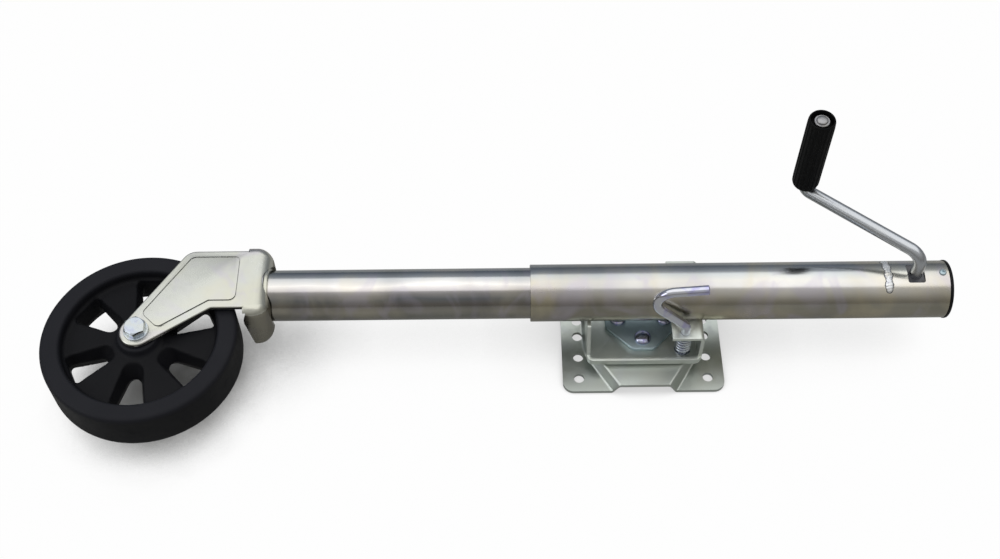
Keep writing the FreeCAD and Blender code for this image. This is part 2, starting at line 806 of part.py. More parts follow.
def grip():
    """Ribbed plastic sleeve that turns on the crank's end."""
    base = grip_axis(grip_start_rise)
    radius = grip_od / 2
    marks = []
    for index in range(grip_ribs):
        for share, r in ((0.0, radius - grip_rib_depth), (0.2, radius), (0.8, radius)):
            angle = 2 * math.pi * (index + share) / grip_ribs
            marks.append(base + Vector(r * math.cos(angle), r * math.sin(angle), 0))
    sleeve = Part.Face(Part.makePolygon(marks + marks[:1])).extrude(Z_AXIS * grip_length)
    low_r, wide_r = radius - grip_end_round * 0.6, radius + 0.5
    envelope = revolved([(0, 0), (low_r, 0), (wide_r, grip_end_round), (wide_r, grip_length - grip_end_round),
                         (low_r, grip_length), (0, grip_length)], base, Z_AXIS)
    sleeve = sleeve.common(envelope)
    sleeve = sleeve.cut(cylinder(crank_rod_d / 2 + running_clearance, base - Z_AXIS, Z_AXIS, grip_length + 2))
    recess_r = grip_rivet_d / 2 + grip_recess_space
    start = base + Z_AXIS * (grip_length - grip_end_recess - grip_rivet_h / 2)
    return sleeve.cut(cylinder(recess_r, start, Z_AXIS, grip_length))


def grip_rivet():
    """Washer head on the bar's end that keeps the grip on."""
    start = grip_axis(grip_start_rise + grip_length - grip_end_recess)
    return domed_head(grip_rivet_d, grip_rivet_h, start, Z_AXIS)


# End cap
def cap_rivet_x():
    """Place of the cap rivet along the tube."""
    return pivot_to_upper_end - cap_rivet_inset


def end_cap():
    """Plastic cap with a rounded rim and a skirt inside the tube."""
    start = along_tube(pivot_to_upper_end)
    rim = cylinder(outer_r + cap_rim_over, start, X_AXIS, cap_rim_t)
    far = [edge for edge in rim.Edges if edge.BoundBox.XMin > pivot_to_upper_end + cap_rim_t - 0.01]
    rim = rim.makeChamfer(cap_rim_t * 0.5, far)
    skirt_r = outer_bore_r - seat_clearance
    skirt_start = along_tube(pivot_to_upper_end - cap_skirt)
    skirt = ring(skirt_r, skirt_r - cap_skirt_t, skirt_start, X_AXIS, cap_skirt + 1)
    hole = cylinder(cap_rivet_d / 2 + seat_clearance, along_tube(cap_rivet_x()), Z_AXIS, outer_od)
    return rim.fuse(skirt).cut(hole).removeSplitter()


def cap_rivet():
    """Blind rivet through tube and cap skirt."""
    inside = outer_bore_r - cap_skirt_t - 1
    shank = cylinder(cap_rivet_d / 2, along_tube(cap_rivet_x(), 0, inside), Z_AXIS, outer_r + 0.5 - inside)
    head = domed_head(cap_rivet_head_d, cap_rivet_head_h, along_tube(cap_rivet_x(), 0, outer_r), Z_AXIS)
    return shank.fuse(head).removeSplitter()


# Leg end and kingpin
def leg_plug():
    """Plug welded in the leg's lower end, bored for the kingpin."""
    bore = kingpin_d / 2 + seat_clearance
    return ring(inner_bore_r - seat_clearance, bore, along_tube(leg_end_x), X_AXIS, leg_plug_t)


def swivel_collar():
    """Collar round the leg that sits in the crown's round seat."""
    body = ring(collar_r, inner_r + seat_clearance, along_tube(leg_end_x), X_AXIS, collar_t)
    rims = [edge for edge in body.Edges
            if len(edge.Vertexes) == 1 and edge.BoundBox.ZLength > 2 * collar_r - 0.1]
    return body.makeChamfer(collar_t * 0.25, rims)


def kingpin_head_x():
    """Inner face of the kingpin's formed head, under its washer."""
    return seat_x - yoke_sheet - body_gap - kingpin_washer_t


def kingpin():
    """Pin through plug and crown, with a riveted head on its washer."""
    start = along_tube(kingpin_head_x())
    shank = cylinder(kingpin_d / 2, start, X_AXIS, leg_end_x + leg_plug_t - kingpin_head_x())
    head = domed_head(kingpin_head_d * 0.85, kingpin_head_t, start, -X_AXIS)
    flange_start = along_tube(leg_end_x + leg_plug_t)
    flange = cylinder(kingpin_head_d / 2, flange_start, X_AXIS, kingpin_head_t)
    return shank.fuse([head, flange]).removeSplitter()


def kingpin_washer():
    """Washer between the crown and the kingpin's head."""
    start = along_tube(kingpin_head_x())
    return ring(kingpin_head_d / 2, kingpin_d / 2 + seat_clearance, start, X_AXIS, kingpin_washer_t)


# Yoke
def crown_block(inset, edge_r, corner_r, back_x):
    """Rounded block of the crown, inset for its hollow."""
    half_y = crown_half_y - inset
    half_z = yoke_half_z - inset
    front_x = crown_x - inset
    face = rectangle(half_y, half_z, corner_r, on_yz(back_x))
    face.translate(Z_AXIS * axis_z)
    block = face.extrude(X_AXIS * (front_x - back_x))
    front = [edge for edge in block.Edges if edge.BoundBox.XMin > front_x - 0.01]
    return block.makeFillet(edge_r, front)


def leg_points(grow=0.0):
    """Corner points of the leg's side view, from the crown round the axle and back."""
    hip = Vector(crown_x - leg_hip_x, yoke_half_y, 0)
    waist = Vector(crown_x - leg_waist_x, -yoke_half_y, 0)
    axle = Vector(axle_x, axle_y, 0)
    upper = tangent_point(hip, axle, leg_end_r + grow, 1)
    lower = tangent_point(waist, axle, leg_end_r + grow, -1)
    return hip, waist, axle, upper, lower


def tangent_point(outside, centre, radius, side):
    """Where the line from an outside point touches a circle."""
    away = outside - centre
    angle = math.atan2(away.y, away.x) + side * math.acos(radius / away.Length)
    return centre + Vector(radius * math.cos(angle), radius * math.sin(angle), 0)


def leg_face(z):
    """Side view of the leg at a given height."""
    hip, waist, axle, upper, lower = leg_points()
    back_x = crown_x - crown_skirt + 1.0
    body = outline([(back_x, -yoke_half_y), (back_x, yoke_half_y), (hip.x, hip.y),
                    (upper.x, upper.y), (axle.x, axle.y), (lower.x, lower.y), (waist.x, waist.y)],
                   [0, 0, leg_hip_r, 0, 0, 0, leg_waist_r], on_xy(z))
    lobe = Part.Face(Part.Wire(Part.makeCircle(leg_end_r, Vector(axle.x, axle.y, z), Z_AXIS)))
    return body, lobe


def leg_plate(low_z, height):
    """Flat leg with a rounded end about the axle."""
    body, lobe = leg_face(low_z)
    return body.extrude(Z_AXIS * height).fuse(lobe.extrude(Z_AXIS * height))


def panel_face(z, margin):
    """Outline of the pressed panel on the leg, kept inside the leg's edges."""
    hip, waist, axle, upper, lower = leg_points()
    top_y = yoke_half_y - margin
    low_y = -yoke_half_y + margin
    front_x = crown_x - crown_edge_r - margin * 2
    along_upper = (upper - hip).normalize()
    along_lower = (lower - waist).normalize()
    inward_upper = Vector(-along_upper.y, along_upper.x, 0) * margin
    inward_lower = Vector(along_lower.y, -along_lower.x, 0) * margin
    start_upper = hip + inward_upper
    start_lower = waist + inward_lower
    end_upper = upper + inward_upper - along_upper * (emboss_hub_space - margin)
    end_lower = lower + inward_lower - along_lower * (emboss_hub_space - margin)
    top_x = start_upper.x + along_upper.x * (top_y - start_upper.y) / along_upper.y
    low_x = start_lower.x + along_lower.x * (low_y - start_lower.y) / along_lower.y
    points = [(front_x, low_y), (front_x, top_y), (top_x, top_y), (end_upper.x, end_upper.y),
              (end_lower.x, end_lower.y), (low_x, low_y)]
    return outline(points, [7, 5, 8, 6, 6, 3], on_xy(z))


def skirt_trim(back_x):
    """Cutter behind the skirts, which get shorter towards the free side and beside the leg."""
    low_z = axis_z - yoke_half_z - 1
    points = [(back_x - 1, low_z), (back_x + skirt_slope_run, low_z), (back_x, axis_z + skirt_full_rise),
              (back_x, axis_z + skirt_relief_start), (back_x + skirt_relief_run, axis_z + yoke_gap / 2),
              (back_x - 1, axis_z + yoke_gap / 2)]
    return outline(points, 0, on_xz(-crown_half_y - 1)).extrude(Y_AXIS * (2 * crown_half_y + 2))


def caster_yoke():
    """Drawn crown with a round seat, short skirts and one leg with a pressed panel."""
    back_x = crown_x - crown_skirt
    shell = crown_block(0, crown_edge_r, crown_corner_r, back_x)
    hollow = crown_block(yoke_sheet, crown_edge_r - yoke_sheet, crown_corner_r - yoke_sheet, back_x - 1)
    dish_r = collar_r + body_gap + yoke_sheet
    dish = cylinder(dish_r, along_tube(seat_x - yoke_sheet), X_AXIS, crown_edge_r * 2)
    body = shell.cut(hollow).fuse(dish.common(shell)).cut(skirt_trim(back_x))
    inner_z, outer_z = axis_z + yoke_gap / 2, axis_z + yoke_half_z
    body = body.fuse(leg_plate(inner_z, yoke_sheet))
    body = body.fuse(panel_face(outer_z, emboss_margin).extrude(Z_AXIS * emboss_height))
    body = body.cut(panel_face(inner_z, emboss_margin + 1.5).extrude(Z_AXIS * emboss_height))
    body = body.cut(cylinder(collar_r + body_gap, along_tube(seat_x), X_AXIS, crown_edge_r * 2))
    body = body.cut(cylinder(kingpin_d / 2 + body_gap, along_tube(back_x - 10), X_AXIS, crown_skirt + 20))
    hole = cylinder(axle_d / 2 + bolt_clearance, AXLE + Z_AXIS * (yoke_gap / 2 - 1), Z_AXIS, yoke_sheet + 5)
    return body.cut(hole).removeSplitter()


def swivel_washer():
    """Thrust washer in the crown's seat."""
    return ring(collar_r, kingpin_d / 2 + body_gap, along_tube(seat_x), X_AXIS, swivel_washer_t)


# Axle
def axle_sleeve():
    """Spacer tube between the leg and the lower washer, which the wheel turns on."""
    start = AXLE - Z_AXIS * (yoke_gap / 2)
    return ring(sleeve_r, axle_d / 2 + bolt_clearance / 2, start, Z_AXIS, yoke_gap)


def axle_bolt():
    """Hexagon bolt through the leg and the wheel."""
    head_start = AXLE + Z_AXIS * (yoke_half_z + axle_washer_t)
    reach = yoke_half_z + yoke_gap / 2 + 2 * axle_washer_t + axle_nut_h + 3
    shank = cylinder(axle_d / 2, head_start, -Z_AXIS, reach)
    return shank.fuse(hexagon_prism(axle_head_af, head_start, Z_AXIS, axle_head_h)).removeSplitter()


def axle_nut():
    """Locking nut under the wheel."""
    start = AXLE - Z_AXIS * (yoke_gap / 2 + axle_washer_t)
    body = hexagon_prism(axle_head_af, start, -Z_AXIS, axle_nut_h)
    return body.cut(cylinder(axle_d / 2 + seat_clearance, start + Z_AXIS, -Z_AXIS, axle_nut_h + 2))


def axle_washers():
    """Washers under the bolt head and over the nut; the lower one also holds the wheel on."""
    solids = []
    bore_r = axle_d / 2 + bolt_clearance
    for side, rise in ((1, yoke_half_z), (-1, yoke_gap / 2)):
        start = AXLE + Z_AXIS * (side * rise)
        solids.append(ring(axle_washer_d / 2, bore_r, start, Z_AXIS * side, axle_washer_t))
    return Part.makeCompound(solids)


# Wheel
def bush_outer_r():
    """Outer radius of the hub bushes."""
    return sleeve_r + running_clearance + bush_wall


def hub_half():
    """Half length of the wheel's hub, inside its bush flanges."""
    return yoke_gap / 2 - body_gap - bush_flange_t


def wheel_blank():
    """Revolved tyre, rim, web and hub, in one moulding."""
    tread_r, half = wheel_d / 2, wheel_width / 2
    rim_r = tread_r - rim_face_width
    step_r = rim_r - rim_recess * 0.35
    upper = [(bush_outer_r() + seat_clearance, hub_half()), (hub_d / 2 - 1, hub_half()),
             (hub_d / 2, hub_half() - 1), (hub_d / 2 + 2, web_half_hub),
             (step_r - 3, web_half_rim), (step_r, web_half_rim + 1.5),
             (rim_r - 0.6, half - 0.8), (rim_r + 0.2, half), (tread_r - wheel_shoulder_r, half),
             (tread_r - 1.4, half - 1.6), (tread_r, half - wheel_shoulder_r)]
    lower = [(r, -h) for r, h in reversed(upper)]
    return revolved(upper + lower, AXLE, Z_AXIS)


def cut_corners(points, reach, z):
    """Closed polygon with two short chords at each corner, near enough to a round."""
    marks = []
    for index, point in enumerate(points):
        corner = Vector(*point, z)
        back = (Vector(*points[index - 1], z) - corner).normalize()
        ahead = (Vector(*points[(index + 1) % len(points)], z) - corner).normalize()
        marks += [corner + back * reach, corner + (back + ahead) * (reach * 0.3), corner + ahead * reach]
    return Part.makePolygon(marks + marks[:1])


def window_tool(angle, side):
    """Cutter of one window half, flared towards its face."""
    wires = []
    for grow, z in ((0.0, -0.5), (window_flare, web_half_hub + 1)):
        narrow, wide = window_inner_half + grow / 2, window_outer_half + grow
        points = [(window_inner_r - grow, -narrow), (window_outer_r, -wide),
                  (window_outer_r, wide), (window_inner_r - grow, narrow)]
        wires.append(cut_corners(points, window_round, side * z))
    tool = Part.makeLoft(wires, True, True)
    tool.rotate(Vector(0, 0, 0), Z_AXIS, angle)
    tool.translate(AXLE)
    return tool


def wheel():
    """One-piece wheel with six windows."""
    body = wheel_blank()
    for index in range(wheel_windows):
        angle = window_phase + 360 * index / wheel_windows
        for side in (1, -1):
            body = body.cut(window_tool(angle, side))
    return body


def hub_bushes():
    """Two flanged bushes in the hub."""
    solids = []
    bore = sleeve_r + running_clearance
    for side in (1, -1):
        way = Z_AXIS * side
        barrel = ring(bush_outer_r(), bore, AXLE + way * (hub_half() - bush_length), way, bush_length)
        flange = ring(bush_flange_d / 2, bore, AXLE + way * hub_half(), way, bush_flange_t)
        solids.append(barrel.fuse(flange).removeSplitter())
    return Part.makeCompound(solids)


PARTS = {
    "base_bracket": base_bracket,
    "swivel_saddle": swivel_saddle,
    "rivet_plate": rivet_plate,
    "pivot_rivets": pivot_rivets,
    "pivot_spacer": pivot_spacer,
    "retaining_disc": retaining_disc,
    "outer_tube": outer_tube,
    "bearing_plate": bearing_plate,
    "end_cap": end_cap,
    "cap_rivet": cap_rivet,
    "upper_bush": upper_bush,
    "lower_bush": lower_bush,
    "lock_pin": lock_pin,
    "lock_pin_clip": lock_pin_clip,
    "lock_spring": lock_spring,
    "inner_tube": inner_tube,
    "lead_nut": lead_nut,
    "nut_pins": nut_pins,
    "leg_plug": leg_plug,
    "swivel_collar": swivel_collar,
    "kingpin": kingpin,
    "kingpin_washer": kingpin_washer,
    "caster_yoke": caster_yoke,
    "swivel_washer": swivel_washer,
    "axle_bolt": axle_bolt,
    "axle_nut": axle_nut,
    "axle_washers": axle_washers,
    "axle_sleeve": axle_sleeve,
    "wheel": wheel,
    "hub_bushes": hub_bushes,
    "lead_screw": lead_screw,
    "thrust_washer": thrust_washer,
    "screw_gear": screw_gear,
    "gear_pin": gear_pin,
    "crank_handle": crank_handle,
    "crank_pinion": crank_pinion,
    "pinion_pin": pinion_pin,
    "grip_rivet": grip_rivet,
    "grip": grip,
}


def main():
    """Writes each piece of the jack."""
    os.makedirs("parts", exist_ok=True)
    for name, make in PARTS.items():
        shape = make()
        shape.exportStep(f"parts/{name}.step")
        solids = shape.Solids
        volume = sum(solid.Volume for solid in solids)
        print(f"{name}: {len(solids)} solids, {volume / 1000:.2f} cm3, valid {shape.isValid()}")


main()
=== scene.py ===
"""Trailer jack, dressed for its portrait.

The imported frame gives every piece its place. Each sub-assembly is a class that models the pieces
which the camera meets, dresses them, and dresses the plainer ones that stay as they are.
Sizes are in millimetres until a piece is made, and every finished piece sits at the origin.
"""
import logging
import math
from dataclasses import dataclass
from enum import Enum
from typing import Callable, Sequence

import bmesh
import bpy
from mathutils import Matrix, Vector

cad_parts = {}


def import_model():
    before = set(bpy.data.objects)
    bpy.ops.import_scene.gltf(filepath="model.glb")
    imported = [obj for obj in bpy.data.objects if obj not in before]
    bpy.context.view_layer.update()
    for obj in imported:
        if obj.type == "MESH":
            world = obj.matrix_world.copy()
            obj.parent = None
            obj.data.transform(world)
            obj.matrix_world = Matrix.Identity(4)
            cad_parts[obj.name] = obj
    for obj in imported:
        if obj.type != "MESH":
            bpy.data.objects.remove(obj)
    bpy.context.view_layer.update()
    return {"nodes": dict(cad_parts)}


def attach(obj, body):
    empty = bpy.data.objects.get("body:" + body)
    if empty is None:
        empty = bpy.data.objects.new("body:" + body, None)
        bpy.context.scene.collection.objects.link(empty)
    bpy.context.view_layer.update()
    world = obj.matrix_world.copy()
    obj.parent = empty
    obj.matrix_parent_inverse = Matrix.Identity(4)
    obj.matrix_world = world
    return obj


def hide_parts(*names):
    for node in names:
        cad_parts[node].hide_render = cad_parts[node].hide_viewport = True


log = logging.getLogger("trailer jack")
MM = 0.001
AXIS_Z = 71.0
POINT_R = 0.001
WELD_DISTANCE = 2e-6
UPRIGHT_RUN = 1e-6
TUBE_R = 28.575
LOCK_PLACE = 39.0
MIRRORED_WHITE = 0.06
Colour = tuple[float, float, float]
Profile = Sequence[tuple[float, float]]
Item = bmesh.types.BMEdge | bmesh.types.BMFace


class Pattern(Enum):
    """How a finish varies over a piece."""

    # Painted reflections of lamp, room and floor, laid as colour bands round the tube.
    TUBE_REFLECTION_BANDS = "bands round the tube"
    CLOUDS = "soft clouds"


class Kind(Enum):
    """What is selected in edit mode."""

    EDGES = "EDGE"
    FACES = "FACE"


class Cut(Enum):
    """What a tool does to the piece in hand."""

    TAKE_AWAY = "DIFFERENCE"
    ADD = "UNION"
    KEEP_INSIDE = "INTERSECT"


# Modelling


class Bench:
    """The bench where pieces are modelled with the edit operators."""

    @staticmethod
    def clear() -> None:
        """Leaves edit mode with nothing selected."""
        if bpy.context.mode != "OBJECT":
            bpy.ops.object.mode_set(mode="OBJECT")
        bpy.ops.object.select_all(action="DESELECT")

    @staticmethod
    def take(piece: bpy.types.Object) -> None:
        """Makes one piece the only selected and the active one.

        Args:
            piece: The piece to work on.
        """
        Bench.clear()
        piece.select_set(True)
        bpy.context.view_layer.objects.active = piece

    @staticmethod
    def start_ring(name: str, radius: float, height: float, vertices: int) -> bpy.types.Object:
        """Starts a piece as an open ring about Z, in edit mode with the ring selected.

        Args:
            name: Name of the piece.
            radius: Radius in millimetres.
            height: Height over the origin in millimetres.
            vertices: Points on the ring.

        Returns:
            The new object.
        """
        Bench.clear()
        bpy.ops.mesh.primitive_circle_add(vertices=vertices, radius=max(radius, POINT_R) * MM,
                                          fill_type="NOTHING")
        piece = bpy.context.object
        piece.name = name
        bpy.ops.object.mode_set(mode="EDIT")
        bpy.ops.mesh.select_mode(type="VERT")
        bpy.ops.mesh.select_all(action="SELECT")
        bpy.ops.transform.translate(value=(0, 0, height * MM))
        return piece

    @staticmethod
    def turned(name: str, profile: Profile, vertices: int = 96, bored: bool = False) -> bpy.types.Object:
        """Turns a profile about Z, ring by ring.

        Args:
            name: Name of the piece.
            profile: Radius and height of each ring in millimetres.
            vertices: Points on each ring.
            bored: Whether the last ring closes on the first, as in a tube.

        Returns:
            The new object, in object mode at the origin.
        """
        piece = Bench.start_ring(name, profile[0][0], profile[0][1], vertices)
        radius, height = max(profile[0][0], POINT_R), profile[0][1]
        for next_radius, next_height in profile[1:]:
            next_radius = max(next_radius, POINT_R)
            bpy.ops.mesh.extrude_region_move(
                TRANSFORM_OT_translate={"value": (0, 0, (next_height - height) * MM)})
            scale = next_radius / radius
            bpy.ops.transform.resize(value=(scale, scale, 1), center_override=(0, 0, next_height * MM))
            radius, height = next_radius, next_height
        Bench.cap(bored)
        return piece

    @staticmethod
    def cap(bridged: bool = False) -> None:
        """Closes the open ends, merges doubles, turns the normals outward and leaves edit mode.

        Args:
            bridged: Whether the ends are joined to each other, as in a tube.
        """
        bpy.ops.mesh.select_all(action="DESELECT")
        bpy.ops.mesh.select_non_manifold()
        if bridged:
            bpy.ops.mesh.bridge_edge_loops()
        else:
            bpy.ops.mesh.fill_holes(sides=0)
        bpy.ops.mesh.select_all(action="SELECT")
        bpy.ops.mesh.remove_doubles(threshold=WELD_DISTANCE)
        bpy.ops.mesh.normals_make_consistent(inside=False)
        bpy.ops.mesh.select_all(action="DESELECT")
        bpy.ops.object.mode_set(mode="OBJECT")

    @staticmethod
    def bar(name: str, radius: float, corners: Sequence[Vector], bends: Sequence[float],
            vertices: int = 36) -> bpy.types.Object:
        """Round bar that starts upward and is spun round each bend.

        Args:
            name: Name of the piece.
            radius: Radius of the bar in millimetres.
            corners: Its corner points in millimetres, the first run along +Z.
            bends: Bend radius at each inner corner.
            vertices: Points round the bar.

        Returns:
            The new object, closed at both ends.
        """
        chamfer = 0.8
        first = corners[0]
        cursor = first + Vector((0, 0, chamfer))
        piece = Bench.start_ring(name, radius - chamfer, 0, vertices)
        bpy.ops.transform.translate(value=first * MM)
        bpy.ops.mesh.extrude_region_move(TRANSFORM_OT_translate={"value": (0, 0, chamfer * MM)})
        scale = radius / (radius - chamfer)
        bpy.ops.transform.resize(value=(scale, scale, 1), center_override=cursor * MM)
        for index in range(1, len(corners) - 1):
            corner = corners[index]
            back = (corners[index - 1] - corner).normalized()
            ahead = (corners[index + 1] - corner).normalized()
            half = back.angle(ahead) / 2
            bend = bends[index - 1]
            begin = corner + back * (bend / math.tan(half))
            centre = corner + (back + ahead).normalized() * (bend / math.sin(half))
            bpy.ops.mesh.extrude_region_move(TRANSFORM_OT_translate={"value": (begin - cursor) * MM})
            turn = math.pi - 2 * half
            bpy.ops.mesh.spin(steps=max(8, int(math.degrees(turn) / 6)), angle=turn, center=centre * MM,
                              axis=back.cross(ahead))
            cursor = corner + ahead * (bend / math.tan(half))
        way = (corners[-1] - cursor).normalized()
        stop = corners[-1] - way * chamfer
        bpy.ops.mesh.extrude_region_move(TRANSFORM_OT_translate={"value": (stop - cursor) * MM})
        bpy.ops.mesh.extrude_region_move(TRANSFORM_OT_translate={"value": way * chamfer * MM})
        scale = 1 / scale
        bpy.ops.transform.resize(value=(scale, scale, scale), center_override=corners[-1] * MM)
        Bench.cap()
        return piece

    @staticmethod
    def block(name: str, size: Sequence[float], centre: Sequence[float],
              corner: float = 0.0) -> bpy.types.Object:
        """Block whose upright edges are rounded.

        Args:
            name: Name of the piece.
            size: Its three sides in millimetres.
            centre: Its middle in millimetres.
            corner: Radius of the upright edges.

        Returns:
            The new object with its place applied.
        """
        Bench.clear()
        bpy.ops.mesh.primitive_cube_add(size=1, location=Vector(centre) * MM, scale=Vector(size) * MM)
        piece = bpy.context.object
        piece.name = name
        bpy.ops.object.transform_apply(location=True, rotation=True, scale=True)
        if corner:
            Bench.round_edges(piece, Bench.is_upright, corner, 8)
        return piece

    @staticmethod
    def select(piece: bpy.types.Object, kind: Kind, wanted: Callable[[Item], bool]) -> None:
        """Enters edit mode with the wanted edges or faces selected.

        Args:
            piece: The piece in hand.
            kind: Whether edges or faces are meant.
            wanted: Says of each whether it is selected.
        """
        Bench.take(piece)
        bpy.ops.object.mode_set(mode="EDIT")
        bpy.ops.mesh.select_mode(type=kind.value)
        bpy.ops.mesh.select_all(action="DESELECT")
        mesh = bmesh.from_edit_mesh(piece.data)
        for item in mesh.edges if kind is Kind.EDGES else mesh.faces:
            item.select_set(wanted(item))
        bmesh.update_edit_mesh(piece.data)

    @staticmethod
    def round_edges(piece: bpy.types.Object, wanted: Callable[[Item], bool], radius: float,
                    segments: int) -> None:
        """Rounds the wanted edges.

        Args:
            piece: The piece in hand.
            wanted: Says of each edge whether it is rounded.
            radius: Width of the rounding in millimetres.
            segments: Steps of the rounding.
        """
        Bench.select(piece, Kind.EDGES, wanted)
        bpy.ops.mesh.bevel(offset=radius * MM, segments=segments, affect="EDGES")
        bpy.ops.object.mode_set(mode="OBJECT")

    @staticmethod
    def is_upright(edge: bmesh.types.BMEdge) -> bool:
        """Whether an edge runs along Z.

        Args:
            edge: The edge.

        Returns:
            True if its ends lie over each other.
        """
        run = edge.verts[0].co - edge.verts[1].co
        return abs(run.x) + abs(run.y) < UPRIGHT_RUN

    @staticmethod
    def place(piece: bpy.types.Object, placing: Matrix) -> None:
        """Moves a piece and puts the move into its mesh.

        Args:
            piece: The piece in hand.
            placing: Where it goes, in metres.
        """
        Bench.take(piece)
        piece.matrix_world = placing
        bpy.context.view_layer.update()
        bpy.ops.object.transform_apply(location=True, rotation=True, scale=True)

    @staticmethod
    def apply(piece: bpy.types.Object, kind: str, **settings: object) -> None:
        """Adds a modifier, sets it and applies it.

        Args:
            piece: The piece in hand.
            kind: Modifier type.
            settings: Its settings.
        """
        Bench.take(piece)
        modifier = piece.modifiers.new(kind.lower(), kind)
        for key, value in settings.items():
            setattr(modifier, key, value)
        bpy.ops.object.modifier_apply(modifier=modifier.name)

    @staticmethod
    def work(piece: bpy.types.Object, tool: bpy.types.Object, cut: Cut) -> None:
        """Works one solid on another and puts the tool away.

        Args:
            piece: The piece in hand.
            tool: The other solid.
            cut: What the tool does.
        """
        Bench.apply(piece, "BOOLEAN", operation=cut.value, object=tool, solver="EXACT")
        bpy.data.objects.remove(tool)

    @staticmethod
    def soften(piece: bpy.types.Object, width: float, limit: float = 35.0, segments: int = 3) -> None:
        """Rounds the sharp edges by a small radius.

        Args:
            piece: The piece in hand.
            width: Width of the rounding in millimetres.
            limit: Least angle of an edge that is rounded.
            segments: Steps of the rounding.
        """
        Bench.apply(piece, "BEVEL", width=width * MM, segments=segments, limit_method="ANGLE",
                    angle_limit=math.radians(limit), use_clamp_overlap=True)

    @staticmethod
    def smooth(piece: bpy.types.Object, angle: float = 40.0) -> None:
        """Shades a piece smooth up to an angle.

        Args:
            piece: The piece in hand.
            angle: Edges sharper than this stay crisp.
        """
        Bench.take(piece)
        bpy.ops.object.shade_smooth_by_angle(angle=math.radians(angle))
        Bench.clear()

    @staticmethod
    def traced(name: str, node: bpy.types.Object, width: float, limit: float = 35.0) -> bpy.types.Object:
        """Copy of a frame solid with clean faces and softened edges.

        Args:
            name: Name of the new piece.
            node: The frame's object.
            width: Width of the rounding in millimetres, or nought for none.
            limit: Least angle of an edge that is rounded.

        Returns:
            The new object.
        """
        mesh = node.data.copy()
        mesh.materials.clear()
        piece = bpy.data.objects.new(name, mesh)
        bpy.context.scene.collection.objects.link(piece)
        Bench.take(piece)
        bpy.ops.object.mode_set(mode="EDIT")
        bpy.ops.mesh.select_all(action="SELECT")
        bpy.ops.mesh.remove_doubles(threshold=WELD_DISTANCE)
        bpy.ops.mesh.dissolve_limited(angle_limit=math.radians(0.6))
        bpy.ops.object.mode_set(mode="OBJECT")
        if width:
            Bench.soften(piece, width, limit)
        return piece

    @staticmethod
    def twin(piece: bpy.types.Object, name: str, placing: Matrix) -> bpy.types.Object:
        """Copy of a finished piece with a mesh of its own.

        Args:
            piece: The finished piece.
            name: Name of the copy.
            placing: Where it goes from there, in metres.

        Returns:
            The copy.
        """
        copy = bpy.data.objects.new(name, piece.data.copy())
        bpy.context.scene.collection.objects.link(copy)
        Bench.place(copy, placing)
        return copy


# Finishes


class Shelf:
    """Shared effects, each one node group that is built once."""

    built: dict[str, bpy.types.NodeTree] = {}

    @classmethod
    def group(cls, name: str, inputs: Sequence[tuple[str, str, object]], outputs: Sequence[tuple[str, str]],
              fill: Callable[["Sheet"], None]) -> bpy.types.NodeTree:
        """Builds a group, or gives the one that is there.

        Args:
            name: Name of the group.
            inputs: Name, socket type and starting value of each input.
            outputs: Name and socket type of each output.
            fill: Builds the inside.

        Returns:
            The group's node tree.
        """
        if name not in cls.built:
            tree = bpy.data.node_groups.new(name, "ShaderNodeTree")
            for label, kind, value in inputs:
                socket = tree.interface.new_socket(name=label, in_out="INPUT", socket_type=kind)
                if value is not None:
                    socket.default_value = value
            for label, kind in outputs:
                tree.interface.new_socket(name=label, in_out="OUTPUT", socket_type=kind)
            fill(Sheet(tree))
            cls.built[name] = tree
        return cls.built[name]


